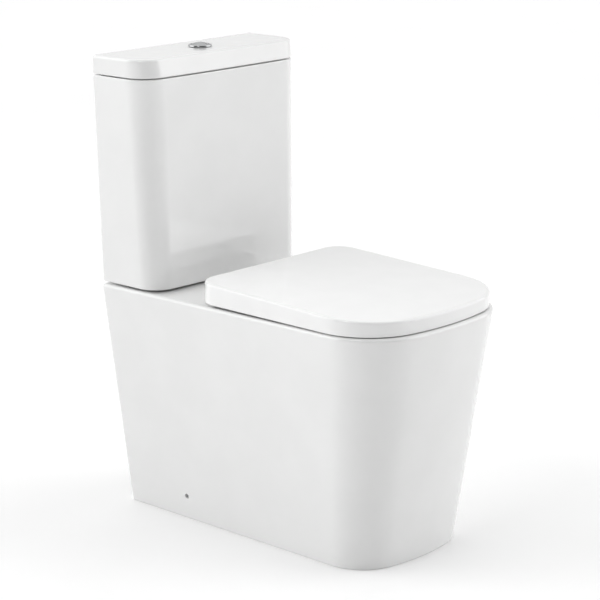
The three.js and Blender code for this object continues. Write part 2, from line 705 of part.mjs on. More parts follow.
function returnSpring() {
  const turns = 4;
  const low = BEZEL_BOTTOM + 2 + 1;
  const high = BUTTON_BOTTOM - 1;
  const points = Array.from({ length: turns * 8 + 1 }, (_, i) => {
    const angle = i * Math.PI / 4;
    return [4.2 * Math.cos(angle), 4.2 * Math.sin(angle), lerp(low, high, i / (turns * 8))];
  });
  return pipe(points, 0.6, 5, turns * 8);
}

const buttonAt = [0, BUTTON_OUT, 0];
place('button_bezel', buttonBezel(), CHROME, buttonAt);
place('bezel_nut', hexNut(26, BEZEL_BARREL, 9), VALVE_WHITE, [0, BUTTON_OUT, LID_UNDERSIDE]);
for (const [kind, sign] of [['full', -1], ['half', 1]]) {
  const rodAt = [sign * ROD_OFFSET, BUTTON_OUT, 0];
  place(`${kind}_flush_button`, buttonHalf(sign), CHROME, buttonAt);
  place(`${kind}_flush_rod`, rod(2.2, PLUNGER_TOP + 1, BUTTON_BOTTOM - CLEARANCE, 12), VALVE_WHITE, rodAt);
  place(`${kind}_return_spring`, returnSpring(), STEEL, rodAt);
}

// ---------- Seat, lid and hinges ----------
function seatLid() {
  const edge = SEAT_LID_EDGE_RADIUS;
  const level = (amount, height) => ring(inset(SEAT_LID, amount), height, SEAT_LID);
  const outer = loft([
    level(1.2, SEAT_LID_BOTTOM),
    level(0, raised(SEAT_LID_BOTTOM, 1.2)),
    level(0, raised(SEAT_LID_TOP, -edge)),
    level(edge * 0.29, raised(SEAT_LID_TOP, -edge * 0.29)),
    level(edge, SEAT_LID_TOP),
  ]);
  const hollow = loft([
    level(SEAT_LID_SHELL, raised(SEAT_LID_BOTTOM, -1)),
    level(SEAT_LID_SHELL, raised(SEAT_LID_TOP, -SEAT_LID_SHELL)),
  ]);
  return cut(solid(outer), hollow);
}

function seatRing() {
  const level = (amount, height) => ring(inset(SEAT_RING, amount), height, SEAT_RING);
  const outer = loft([
    level(1.5, SEAT_RING_BOTTOM),
    level(0, SEAT_RING_BOTTOM + 1.5),
    level(0, raised(SEAT_RING_TOP, -4)),
    level(1.2, raised(SEAT_RING_TOP, -1.2)),
    level(4, SEAT_RING_TOP),
  ]);
  const hole = loft([
    ring(SEAT_HOLE, SEAT_RING_BOTTOM - 1),
    ring(inset(SEAT_HOLE, -1), SEAT_RING_BOTTOM + 4),
    ring(inset(SEAT_HOLE, -12), raised(SEAT_RING_TOP, 1), SEAT_RING),
  ]);
  return cut(solid(outer), hole);
}

// Hinge pieces are made about the hinge axis, then placed on it.
const onHinge = (geometry) => geometry.translate(0, WALL_Y - HINGE_OUT, HINGE_HEIGHT);
const barrel = (radius, low, high, sides = 20) => onHinge(alongX(rod(radius, low, high, sides)));
const hingeBox = (low, high) => onHinge(box(low, high));

const POST_HALF = 8;
const KNUCKLE_RADIUS = 9;
const KNUCKLE_GAP = 0.8;
const PIN_RADIUS = 4;
const DAMPER_RADIUS = 6.6;
const RING_KNUCKLE = [HINGE_HALF_SPACING - 29, HINGE_HALF_SPACING - POST_HALF - KNUCKLE_GAP];
const LID_KNUCKLE = [HINGE_HALF_SPACING + POST_HALF + KNUCKLE_GAP, HINGE_HALF_SPACING + 29];
const DAMPER_LENGTH = 34;
const DAMPER_POCKET = DAMPER_LENGTH + 2;

const spanOn = (sign, [near, far]) => (sign > 0 ? [near, far] : [-far, -near]);

function hingedRing() {
  const damperSpan = [RING_KNUCKLE[0] - DAMPER_POCKET, RING_KNUCKLE[0]];
  const parts = [];
  const bores = [];
  for (const [side, sign] of SIDES) {
    const reach = side === 'left' ? [damperSpan[0], RING_KNUCKLE[1]] : RING_KNUCKLE;
    const [low, high] = spanOn(sign, reach);
    parts.push(barrel(KNUCKLE_RADIUS, low, high), hingeBox([low, -24, -8], [high, 0, 3]));
    bores.push(barrel(PIN_RADIUS + CLEARANCE, sign * (RING_KNUCKLE[0] - 1), sign * HINGE_HALF_SPACING));
  }
  const [pocketLow, pocketHigh] = spanOn(-1, [damperSpan[0] - 1, damperSpan[1]]);
  bores.push(barrel(DAMPER_RADIUS + CLEARANCE, pocketLow, pocketHigh));
  const whole = parts.reduce((sum, part) => sum.add(solid(part)), seatRing());
  return cut(whole, ...bores);
}

function hingedLid() {
  const damperSpan = [LID_KNUCKLE[1], LID_KNUCKLE[1] + DAMPER_POCKET];
  const parts = [];
  const bores = [];
  const notches = [];
  for (const [side, sign] of SIDES) {
    const reach = side === 'right' ? [LID_KNUCKLE[0], damperSpan[1]] : LID_KNUCKLE;
    const [low, high] = spanOn(sign, reach);
    const [notchLow, notchHigh] = spanOn(sign, [RING_KNUCKLE[0] - 2, LID_KNUCKLE[0] + 6]);
    parts.push(barrel(KNUCKLE_RADIUS, low, high), hingeBox([low, -6, 0], [high, 6, 16.5]));
    bores.push(barrel(PIN_RADIUS + CLEARANCE, sign * HINGE_HALF_SPACING, sign * (LID_KNUCKLE[1] + 1)));
    notches.push(hingeBox([notchLow, 10, -30], [notchHigh, 20, 14.5]));
  }
  const [pocketLow, pocketHigh] = spanOn(1, [damperSpan[0], damperSpan[1] + 1]);
  bores.push(barrel(DAMPER_RADIUS + CLEARANCE, pocketLow, pocketHigh));

  // Behind the hinge the skirt stays inside the circle that clears the deck as the lid swings,
  // and its back edge is short enough to pass behind the ring.
  const behind = solid(hingeBox([-200, 0, -30], [200, 30, 0]));
  const relief = behind.subtract(solid(barrel(HINGE_SWEEP, -201, 201, 48)));
  const shortBack = hingeBox([-200, 7.5, -30], [200, 30, -10]);
  const shell = cut(seatLid(), shortBack, ...notches).subtract(relief);
  const whole = parts.reduce((sum, part) => sum.add(solid(part)), shell);
  return cut(whole, ...bores);
}

place('seat_ring', hingedRing(), SEAT_PLASTIC);
place('seat_lid', hingedLid(), SEAT_PLASTIC);

const deck = PAN_HEIGHT;
const post = () => {
  const base = rod(10.5, CLEARANCE, 3.4, 24).translate(0, 0, -22);
  const stem = box([-POST_HALF + 1, -6, -20], [POST_HALF - 1, 6, 0]);
  const head = alongX(rod(8, -POST_HALF, POST_HALF, 24));
  const blindBore = rod(3 + CLEARANCE, -23, -12, 16);
  return cut(join(base, stem, head), alongX(rod(PIN_RADIUS + CLEARANCE, -20, 20, 20)), blindBore);
};

const fixingNut = turned([
  [3 + CLEARANCE, -20],
  [8, -20],
  [13, -6],
  [13, -CLEARANCE],
  [3 + CLEARANCE, -CLEARANCE],
], 20);

for (const [side, sign] of SIDES) {
  const across = sign * HINGE_HALF_SPACING;
  const pin = alongX(rod(PIN_RADIUS, -28, 28, 20));
  place(`hinge_post_${side}`, post(), CHROME, [across, HINGE_OUT, HINGE_HEIGHT]);
  place(`hinge_pin_${side}`, pin, STEEL, [across, HINGE_OUT, HINGE_HEIGHT]);
  place(`hinge_bolt_${side}`, rod(3, DECK_UNDERSIDE - 30, deck + 9, 16), STEEL, [across, HINGE_OUT, 0]);
  place(`hinge_nut_${side}`, fixingNut.clone(), VALVE_WHITE, [across, HINGE_OUT, DECK_UNDERSIDE]);
}

// Rubber buffers hold the seat off the pan and the lid off the seat.
const SEAT_BUFFERS = [[150, 325], [136, 545]];
const LID_BUFFER = { across: 143, out: 450 };
const slopeAt = (height, outline, out) =>
  lerp(height.back, height.front, (out - outline.back) / (outline.front - outline.back));

for (const [side, sign] of SIDES) {
  SEAT_BUFFERS.forEach(([across, out], i) => {
    const name = `seat_buffer_${i ? 'front' : 'back'}_${side}`;
    const pad = rod(7, deck + CLEARANCE, SEAT_RING_BOTTOM - CLEARANCE, 16);
    place(name, pad, CLEAR_RUBBER, [sign * across, out, 0]);
  });
  const low = slopeAt(SEAT_RING_TOP, SEAT_RING, LID_BUFFER.out) + 0.5;
  const high = slopeAt(raised(SEAT_LID_TOP, -SEAT_LID_SHELL), SEAT_LID, LID_BUFFER.out) - 0.5;
  const across = sign * LID_BUFFER.across;
  place(`lid_buffer_${side}`, rod(6, low, high, 16), CLEAR_RUBBER, [across, LID_BUFFER.out, 0]);
}

const damper = () => alongX(rod(DAMPER_RADIUS, 0, DAMPER_LENGTH, 20));
place('seat_damper', damper(), VALVE_GREY, [CLEARANCE - RING_KNUCKLE[0], HINGE_OUT, HINGE_HEIGHT]);
place('lid_damper', damper(), VALVE_GREY, [LID_KNUCKLE[1] + CLEARANCE, HINGE_OUT, HINGE_HEIGHT]);

// ---------- Floor fixing ----------
// An angle bracket stands inside each side of the pan, and a screw through the side holds it.
function floorBracket(sign) {
  const foot = box([0, -18, 0], [38, 18, 4]);
  const upright = box([0, -18, 0], [5, 18, 62]);
  const rib = box([3, -2, 2], [26, 2, 26]);
  const floorHole = rod(4, -1, 6, 16).translate(22, 10, 0);
  const screwHole = alongX(rod(2.4 + CLEARANCE, -2, 8, 16)).translate(0, 0, SIDE_HOLE.height);
  const bracket = cut(join(foot, upright, rib), floorHole, screwHole);
  return sign > 0 ? bracket.mirror([1, 0, 0]) : bracket;
}

const sideAt = (height) => {
  const outline = mix(PAN_BASE, PAN_TOP, height / PAN_HEIGHT);
  const share = (SIDE_HOLE.out - outline.back) / (outline.front - outline.bow - outline.back);
  return lerp(outline.halfBack, outline.halfFront, share);
};

for (const [side, sign] of SIDES) {
  const face = sideAt(SIDE_HOLE.height);
  const bracketAt = sideAt(0) - PAN_WALL - 1;
  const screw = alongX(turned([[0, 0], [2.4, 0], [2.4, 21], [4.1, 23], [4.1, 24], [0, 24]], 16));
  if (sign < 0) screw.rotateZ(Math.PI);
  place(`floor_bracket_${side}`, floorBracket(sign), STEEL, [sign * bracketAt, SIDE_HOLE.out, 0]);
  place(`bracket_screw_${side}`, screw, STEEL, [sign * (face - 27), SIDE_HOLE.out, SIDE_HOLE.height]);
}

export default group;
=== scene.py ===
import json
import math
from typing import NamedTuple

import bmesh
import bpy
from mathutils import Matrix, Vector


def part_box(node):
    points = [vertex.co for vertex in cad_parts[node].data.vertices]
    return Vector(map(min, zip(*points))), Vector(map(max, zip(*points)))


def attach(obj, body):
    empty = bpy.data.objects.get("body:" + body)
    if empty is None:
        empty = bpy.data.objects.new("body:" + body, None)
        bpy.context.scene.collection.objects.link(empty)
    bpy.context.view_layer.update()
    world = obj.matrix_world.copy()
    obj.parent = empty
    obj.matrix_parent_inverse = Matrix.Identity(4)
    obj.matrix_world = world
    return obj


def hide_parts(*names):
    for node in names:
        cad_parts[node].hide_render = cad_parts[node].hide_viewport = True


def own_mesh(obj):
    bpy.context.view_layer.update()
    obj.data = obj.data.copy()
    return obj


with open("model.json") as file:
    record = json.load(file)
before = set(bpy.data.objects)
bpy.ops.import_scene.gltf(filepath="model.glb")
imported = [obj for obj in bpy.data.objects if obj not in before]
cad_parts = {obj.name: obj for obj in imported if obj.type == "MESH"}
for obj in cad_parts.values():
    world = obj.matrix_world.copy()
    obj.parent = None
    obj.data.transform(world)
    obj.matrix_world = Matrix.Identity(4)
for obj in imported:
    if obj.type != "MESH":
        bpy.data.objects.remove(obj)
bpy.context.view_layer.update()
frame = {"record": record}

# Lengths are in millimetres until make() turns them into metres.
MM = 0.001
TURN = 2 * math.pi
QUARTER = math.pi / 2

record = frame["record"]
BODY_OF = {node: body for body, nodes in record["behaviour"]["bodies"].items() for node in nodes}
SLOT_OF = {entry["node"]: entry["material_slot"] for entry in record["subparts"]}
JOINTS = {joint["name"]: joint for joint in record["behaviour"]["joints"]}
SIDES = (("left", -1), ("right", 1))


def low_of(node):
    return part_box(node)[0] / MM


def high_of(node):
    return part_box(node)[1] / MM


def heights(node):
    return low_of(node).z, high_of(node).z


# ---------- Outlines, seen from above ----------
# back and front are distances out from the wall.
class Outline(NamedTuple):
    half_back: float
    half_front: float
    back: float
    front: float
    corner_back: float
    corner_front: float
    bow: float


WALL_Y = high_of("cistern_tank").y
PAN_HEIGHT = high_of("pan").z
PAN_BASE = Outline(136.5, 139.5, 8, 585, 8, 80, 28)
PAN_TOP = Outline(189, 182, 0, 645, 8, 110, 25)
PAN_EDGE = 6
PAN_FOOT_EDGE = 1.5
PAN_WALL = 12
DECK_THICKNESS = 24
DECK_UNDERSIDE = PAN_HEIGHT - DECK_THICKNESS

BOWL_RIM = Outline(112, 120, 302, 596, 88, 100, 26)
BOWL_SUMP = Outline(34, 34, 350, 428, 32, 32, 6)
BOWL_FLOOR = 72
BOWL_WALL = 11
BOWL_RIM_EDGE = 5
BOWL_CURVE = 0.55

TANK_BOTTOM = low_of("cistern_tank").z
TANK_TOP = high_of("cistern_tank").z
TANK_BASE = Outline(184.8, 184.8, 0, 140.4, 6, 42.6, 3.6)
TANK_RIM = Outline(195.4, 195.4, 0, 134.3, 6, 49, 3.6)
TANK_WALL = 9
TANK_FLOOR = 12
TANK_FLOOR_TOP = TANK_BOTTOM + TANK_FLOOR
TANK_CENTRE = 70
BUTTON_OUT = 68

COVER_SEAM = 2.1
COVER_BOTTOM = TANK_TOP + COVER_SEAM
COVER_TOP = high_of("cistern_lid").z
COVER_BASE = Outline(196, 196, 0, 134, 6, 47, 3.6)
COVER_CROWN = Outline(195.5, 195.5, 0.5, 129.5, 6, 44, 3.6)
COVER_EDGE = 5
COVER_SHELL = 11

SEAT_LID = Outline(183.7, 183, 230.5, 638.4, 41, 111, 35.5)
SEAT_LID_BOTTOM = (PAN_HEIGHT + 5, PAN_HEIGHT + 1.2)
SEAT_LID_TOP = (PAN_HEIGHT + 42.4, PAN_HEIGHT + 25.8)
SEAT_LID_SHELL = 4.6
SEAT_LID_EDGE = 4.5
SEAT_RING = Outline(172, 174, 262, 629.5, 30, 102, 33)
SEAT_HOLE = Outline(104, 112, 330, 576, 88, 92, 26)
SEAT_RING_BOTTOM = (PAN_HEIGHT + 6, PAN_HEIGHT + 6)
SEAT_RING_TOP = (PAN_HEIGHT + 26, PAN_HEIGHT + 18.5)
HOLE_EDGE_LOW = 423.5

HINGE = Vector(JOINTS["seat_hinge"]["pos_m"]) / MM
HINGE_OUT = WALL_Y - HINGE.y
HINGE_SPACING = 77.5

# Holes through the ceramic. A spacing is measured from the middle plane.
BOLT_SPACING = 75
BOLT_HOLE = 5.5
INLET_MOUTH = 33
SHANK_HOLE_IN_TANK = 12
SHANK_HOLE_IN_DECK = 22
POST_HOLE = 7.5
SCREW_HOLE_IN_SKIRT = 4.6
WALL_SCREW_HOLE = 4
WALL_SCREW_SPACING = 75
WALL_SCREW_HEIGHT = 745
BUTTON_HOLE = 18.6

BORE_GAP = 0.35
# A cutting solid starts and ends this far past the face that it goes through.
PAST = 1
# A skin that would share a face with the part it cuts stands this much above it.
CLEAR = 0.02

BOW_STEPS, CORNER_STEPS, SIDE_STEPS, BACK_CORNER_STEPS, BACK_STEPS = 10, 20, 14, 8, 8
EDGE_STEPS = 6


def spaced(start, end, steps):
    return [start + (end - start) * i / steps for i in range(steps + 1)]


def mix(a, b, share):
    return Outline(*(p + (q - p) * share for p, q in zip(a, b)))


def inset(o, amount):
    return Outline(
        o.half_back - amount,
        o.half_front - amount,
        o.back + amount,
        o.front - amount,
        max(o.corner_back - amount, 2),
        max(o.corner_front - amount, 2),
        o.bow,
    )


def arc(centre, radius, start, end, steps):
    return [centre + radius * Vector((math.cos(a), math.sin(a))) for a in spaced(start, end, steps)]


def between(start, end, steps):
    return [start.lerp(end, i / steps) for i in range(1, steps)]


def outline_points(o):
    """A bowed front, round front corners, straight sides and small back corners, anticlockwise."""
    bow_radius = (o.half_front**2 + o.bow**2) / (2 * o.bow)
    bow_centre = Vector((0, WALL_Y - o.front + bow_radius))
    side_front = Vector((o.half_front, WALL_Y - o.front + o.bow))
    side = (Vector((o.half_back, WALL_Y - o.back)) - side_front).normalized()
    inward = Vector((-side.y, side.x))
    outward = math.atan2(-inward.y, -inward.x)

    from_bow = side_front + inward * o.corner_front - bow_centre
    along = from_bow.dot(side)
    gap = from_bow.length_squared - (bow_radius - o.corner_front) ** 2
    to_centre = from_bow + side * (-along - math.sqrt(along**2 - gap))
    bow_end = math.atan2(to_centre.y, to_centre.x)
    front_arc = arc(bow_centre + to_centre, o.corner_front, bow_end, outward, CORNER_STEPS)

    back_centre = side_front + inward * o.corner_back
    back_centre += side * ((WALL_Y - o.back - o.corner_back - back_centre.y) / side.y)
    back_arc = arc(back_centre, o.corner_back, outward, QUARTER, BACK_CORNER_STEPS)

    middle_of_back = Vector((0, back_arc[-1].y))
    half = arc(bow_centre, bow_radius, -QUARTER, bow_end, BOW_STEPS)[:-1]
    half += front_arc + between(front_arc[-1], back_arc[0], SIDE_STEPS)
    half += back_arc + between(back_arc[-1], middle_of_back, BACK_STEPS) + [middle_of_back]
    return half + [Vector((-p.x, p.y)) for p in reversed(half[1:-1])]


def ring(o, height, slope_over=None):
    """The outline as points at a height. A height of (back, front) slopes between an outline's two ends."""
    over = slope_over or o
    back, front = height if isinstance(height, tuple) else (height, height)
    slope = (front - back) / (over.front - over.back)
    return [Vector((p.x, p.y, back + slope * (WALL_Y - p.y - over.back))) for p in outline_points(o)]


def raised(height, amount):
    return (height[0] + amount, height[1] + amount)


def rounding(radius, steps=EDGE_STEPS):
    """(inset, drop) down a quarter round edge, from the upright side to the flat top."""
    return [(radius * (1 - math.cos(a)), radius * (1 - math.sin(a))) for a in spaced(0, QUARTER, steps)]


# ---------- Solids ----------
class Solid(NamedTuple):
    points: list
    faces: list


def loft(rings, looped=False):
    """A closed skin through rings of as many points each, capped at both ends or joined end to end."""
    count, levels = len(rings[0]), len(rings)
    faces = []
    for level in range(levels if looped else levels - 1):
        near, far = level * count, (level + 1) % levels * count
        for i in range(count):
            j = (i + 1) % count
            faces.append((near + i, near + j, far + j, far + i))
    if not looped:
        faces.append(tuple(reversed(range(count))))
        faces.append(tuple(range((levels - 1) * count, levels * count)))
    return Solid([p for r in rings for p in r], faces)


def turned(profile, segments=64):
    """A profile of (radius, height) turned about Z. It starts and ends on the axis, or closes on itself."""
    points, rows, faces = [], [], []
    for radius, height in profile:
        first = len(points)
        angles = [TURN * i / segments for i in range(segments)] if radius > 0 else [0]
        points += [Vector((radius * math.cos(a), radius * math.sin(a), height)) for a in angles]
        rows.append([first + i % len(angles) for i in range(segments)])
    pairs = list(zip(rows, rows[1:]))
    if profile[0][0] > 0:
        pairs.append((rows[-1], rows[0]))
    for near, far in pairs:
        for i in range(segments):
            j = (i + 1) % segments
            face = [near[i], near[j], far[j], far[i]]
            face = [v for k, v in enumerate(face) if v not in face[:k]]
            if len(face) > 2:
                faces.append(tuple(face))
    return Solid(points, faces)


CORNER_SHARE = 0.45


def softened(profile, radius, steps=3):
    """The same profile with round corners, each no longer than a share of the stretches beside it."""
    looped = profile[0][0] > 0
    soft = []
    for i, corner in enumerate(profile):
        if not looped and i in (0, len(profile) - 1):
            soft.append(corner)
            continue
        here = Vector(corner)
        before = Vector(profile[i - 1]) - here
        after = Vector(profile[(i + 1) % len(profile)]) - here
        start = here + before.normalized() * min(radius, before.length * CORNER_SHARE)
        end = here + after.normalized() * min(radius, after.length * CORNER_SHARE)
        soft += [tuple(start.lerp(here, t).lerp(here.lerp(end, t), t)) for t in spaced(0, 1, steps)]
    return soft


def rod(radius, low, high, edge=0.0, segments=48):
    profile = [(0, low), (radius, low), (radius, high), (0, high)]
    return turned(softened(profile, edge) if edge else profile, segments)


def pipe(outer, inner, low, high, edge=0.4, segments=64):
    profile = [(inner, low), (outer, low), (outer, high), (inner, high)]
    return turned(softened(profile, edge), segments)


def block(low, high, edge=0.0):
    """A block between two corners, with round edges if asked."""
    low, high = Vector(low), Vector(high)
    form = bmesh.new()
    size = Matrix.Diagonal((*(high - low), 1))
    bmesh.ops.create_cube(form, size=1, matrix=Matrix.Translation((low + high) / 2) @ size)
    if edge:
        bmesh.ops.bevel(form, geom=form.edges[:], offset=edge, segments=4, profile=0.5, affect="EDGES")
    form.verts.index_update()
    solid = Solid([v.co.copy() for v in form.verts], [tuple(v.index for v in f.verts) for f in form.faces])
    form.free()
    return solid


def prism(section, low, high):
    """A section of (y, z) points, drawn out along X."""
    return loft([[Vector((x, y, z)) for y, z in section] for x in (low, high)])


def swept(path, radius, sides=32):
    """A round bar along a path of points."""
    rings = []
    normal = Vector((1, 0, 0))
    for i, point in enumerate(path):
        tangent = (path[min(i + 1, len(path) - 1)] - path[max(i - 1, 0)]).normalized()
        normal = (normal - tangent * normal.dot(tangent)).normalized()
        across = tangent.cross(normal)
        angles = [TURN * k / sides for k in range(sides)]
        rings.append([point + radius * (normal * math.cos(a) + across * math.sin(a)) for a in angles])
    return loft(rings)


def smooth_path(knots, steps=8):
    """Points on a smooth curve through knots given as (out from the wall, height), in the middle plane."""
    knots = [Vector((0, WALL_Y - out, height)) for out, height in knots]
    ends = [2 * knots[0] - knots[1], *knots, 2 * knots[-1] - knots[-2]]
    path = []
    for a, b, c, d in zip(ends, ends[1:], ends[2:], ends[3:]):
        for t in [k / steps for k in range(steps)]:
            even = (2 * b + (c - a) * t + (2 * a - 5 * b + 4 * c - d) * t**2) / 2
            path.append(even + (3 * b - 3 * c + d - a) * t**3 / 2)
    return path + [knots[-1]]


def shifted(solid, move):
    return Solid([p + Vector(move) for p in solid.points], solid.faces)


def placed(solid, across, out, up=0):
    return shifted(solid, (across, WALL_Y - out, up))


def rotated(solid, axis, angle=QUARTER):
    matrix = Matrix.Rotation(angle, 3, axis)
    return Solid([matrix @ p for p in solid.points], solid.faces)


def along_x(solid):
    return rotated(solid, "Y")


def along_y(solid):
    return rotated(solid, "X")


def at_hinge(solid):
    return shifted(solid, HINGE)


# ---------- Pieces ----------
def make(name, solid):
    """The solid as a Blender object in metres, its faces turned outward."""
    mesh = bpy.data.meshes.new(name)
    mesh.from_pydata([p * MM for p in solid.points], [], solid.faces)
    form = bmesh.new()
    form.from_mesh(mesh)
    if form.calc_volume(signed=True) < 0:
        bmesh.ops.reverse_faces(form, faces=form.faces[:])
    form.to_mesh(mesh)
    form.free()
    piece = bpy.data.objects.new(name, mesh)
    bpy.context.scene.collection.objects.link(piece)
    return piece


def reshaped(piece, steps):
    """The piece after joining, cutting or keeping other solids, in turn."""
    tools = []
    for operation, solid in steps:
        tool = make(f"{piece.name}_tool", solid)
        step = piece.modifiers.new(operation.title(), "BOOLEAN")
        step.operation = operation
        step.solver = "MANIFOLD"
        step.object = tool
        tools.append(tool)
    graph = bpy.context.evaluated_depsgraph_get()
    mesh = bpy.data.meshes.new_from_object(piece.evaluated_get(graph))
    piece.modifiers.clear()
    piece.data = mesh
    for tool in tools:
        bpy.data.objects.remove(tool)
    return piece


def assembled(name, body, joined=(), cut=(), hollowed=()):
    """A piece made by hollowing a body, joining solids to it and then cutting others out of it."""
    stages = (("DIFFERENCE", hollowed), ("UNION", joined), ("DIFFERENCE", cut))
    return reshaped(make(name, body), [(stage, solid) for stage, solids in stages for solid in solids])


def finished(piece, *nodes, sharp_angle=38):
    """Shades the piece, and lets it stand for CAD nodes with their body, slot and material."""
    mesh = piece.data
    mesh.shade_smooth()
    mesh.set_sharp_from_angle(angle=math.radians(sharp_angle))
    shading = piece.modifiers.new("Even shading", "WEIGHTED_NORMAL")
    shading.keep_sharp = True
    slot = SLOT_OF[nodes[0]]
    mesh.materials.clear()
    mesh.materials.append(LOOKS[slot])
    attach(piece, BODY_OF[nodes[0]])
    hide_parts(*nodes)
    return piece


# ---------- Materials ----------
class Shader:
    """A node tree whose surface is fed from a place: a material in object space, or the world."""

    def __init__(self, holder, surface, place):
        holder.use_nodes = True
        self.holder = holder
        self.tree = holder.node_tree
        self.surface = self.tree.nodes[surface]
        self.place = self.add("ShaderNodeTexCoord").outputs[place]

    def add(self, kind, inputs=None, **settings):
        node = self.tree.nodes.new(kind)
        for key, value in settings.items():
            setattr(node, key, value)
        for key, value in (inputs or {}).items():
            self.set(node.inputs[key], value)
        return node

    def set(self, socket, value):
        if isinstance(value, bpy.types.NodeSocket):
            self.tree.links.new(value, socket)
        else:
            socket.default_value = value

    def noise(self, feature, detail=3, stretch=(1, 1, 1)):
        """Noise from 0 to 1 whose features are about this many millimetres across."""
        scale = [1 / (feature * MM * s) for s in stretch]
        mapping = self.add("ShaderNodeMapping", {"Vector": self.place, "Scale": scale})
        inputs = {"Vector": mapping.outputs["Vector"], "Scale": 1.0, "Detail": detail}
        return self.add("ShaderNodeTexNoise", inputs).outputs["Fac"]

    def spread(self, value, low, high, from_low=0.3, from_high=0.7):
        inputs = {"Value": value, "From Min": from_low, "From Max": from_high, "To Min": low, "To Max": high}
        return self.add("ShaderNodeMapRange", inputs, interpolation_type="SMOOTHSTEP").outputs["Result"]

    def blend(self, share, first, second):
        node = self.add("ShaderNodeMix", data_type="RGBA")
        self.set(node.inputs[0], share)
        self.set(node.inputs[6], first)
        self.set(node.inputs[7], second)
        return node.outputs[2]

    def bump(self, height, depth, under=None):
        """A surface that rises and falls by this many millimetres."""
        inputs = {"Height": height, "Distance": depth * MM, "Strength": 1.0}
        if under:
            inputs["Normal"] = under
        return self.add("ShaderNodeBump", inputs).outputs["Normal"]

    def finish(self, **sockets):
        for name, value in sockets.items():
            self.set(self.surface.inputs[name.replace("_", " ")], value)
        return self.holder


def new_material(name):
    return Shader(bpy.data.materials.new(name), "Principled BSDF", "Object")


def shade(colour, factor):
    return (*(c * factor for c in colour), 1)


def glazed_china(name, colour):
    """Thick glossy glaze: long soft waves, fine orange peel, faint pooling and a few dull marks."""
    look = new_material(name)
    pooling = look.spread(look.noise(90, 4), 0, 1)
    specks = look.spread(look.noise(2.2, 1), 0, 1, 0.74, 0.8)
    body = look.blend(pooling, shade(colour, 1), shade(colour, 0.975))
    faint = look.add("ShaderNodeMath", {0: specks, 1: 0.05}, operation="MULTIPLY").outputs[0]
    tinted = look.blend(faint, body, (0.62, 0.6, 0.56, 1))
    marks = look.spread(look.noise(26, 6), 0.07, 0.13, 0.45, 0.75)
    waves = look.bump(look.noise(70, 2), 0.30)
    peel = look.bump(look.noise(3.5, 2), 0.004, waves)
    return look.finish(
        Base_Color=tinted, Roughness=marks, Normal=peel, IOR=1.52, Coat_Weight=0.5, Coat_Roughness=0.03,
    )


def moulded(name, colour, roughness, grain=0.012, gloss=0.0, feature=0.9, waves=0.12, mottle=0.95):
    """Moulded plastic: slight flow shading, a fine grain and a few rubbed patches."""
    look = new_material(name)
    flow = look.spread(look.noise(45, 3, (1, 1, 2.5)), 0, 1)
    tinted = look.blend(flow, shade(colour, 1), shade(colour, mottle))
    rubbed = look.spread(look.noise(18, 6), roughness * 0.85, roughness * 1.35, 0.4, 0.72)
    sink = look.bump(look.noise(60, 2), waves)
    fine = look.bump(look.noise(feature, 2), grain, sink)
    return look.finish(
        Base_Color=tinted, Roughness=rubbed, Normal=fine, IOR=1.48, Coat_Weight=gloss, Coat_Roughness=0.05,
    )


def metal(name, colour, roughness, stretch=(1, 1, 1), scratch=0.004, tarnish=0.9):
    """Metal with fine scratches and a dull bloom that darkens it in random patches."""
    look = new_material(name)
    bloom = look.spread(look.noise(14, 5), 0, 1, 0.35, 0.75)
    tinted = look.blend(bloom, shade(colour, 1), shade(colour, tarnish))
    dulled = look.spread(look.noise(6, 6), roughness * 0.8, roughness * 1.6, 0.35, 0.75)
    lines = look.bump(look.noise(1.2, 4, stretch), scratch)
    return look.finish(Base_Color=tinted, Roughness=dulled, Normal=lines, Metallic=1.0)


def rubber(name, colour, roughness, bloom=0.35):
    """Rubber with a matt skin, mould grain and a pale dusty bloom."""
    look = new_material(name)
    dust = look.spread(look.noise(9, 5), 0, bloom, 0.45, 0.8)
    tinted = look.blend(dust, shade(colour, 1), (0.5, 0.5, 0.49, 1))
    skin = look.spread(look.noise(3, 3), roughness * 0.9, min(roughness * 1.15, 1))
    return look.finish(Base_Color=tinted, Roughness=skin, Normal=look.bump(look.noise(0.6, 3), 0.03))


LOOKS = {
    "china": glazed_china("glazed_china", (0.832, 0.834, 0.831)),
    "seat_plastic": moulded(
        "seat_moulding", (0.885, 0.887, 0.885), 0.09, 0.002, 0.4, 2.5, waves=0.03, mottle=0.985,
    ),
    "chrome": metal("polished_chrome", (0.42, 0.425, 0.43), 0.06, scratch=0.0008, tarnish=0.94),
    "steel": metal("zinc_plated_steel", (0.56, 0.57, 0.58), 0.3, (0.35, 0.35, 6), 0.01, 0.8),
    "brass": metal("brass", (0.7, 0.5, 0.22), 0.28, (1, 1, 0.25), 0.012, 0.7),
    "rubber": rubber("black_rubber", (0.02, 0.02, 0.022), 0.75),
    "clear_rubber": rubber("clear_bumper", (0.72, 0.72, 0.7), 0.42, 0.15),
    "valve_white": moulded("white_fitting", (0.72, 0.73, 0.74), 0.42),
    "valve_blue": moulded("blue_fitting", (0.05, 0.16, 0.44), 0.42),
    "valve_grey": moulded("grey_fitting", (0.26, 0.28, 0.3), 0.48),
}


# ---------- Pan ----------
def pan_wall(z, amount=0.0):
    return ring(inset(mix(PAN_BASE, PAN_TOP, z / PAN_HEIGHT), amount), z)


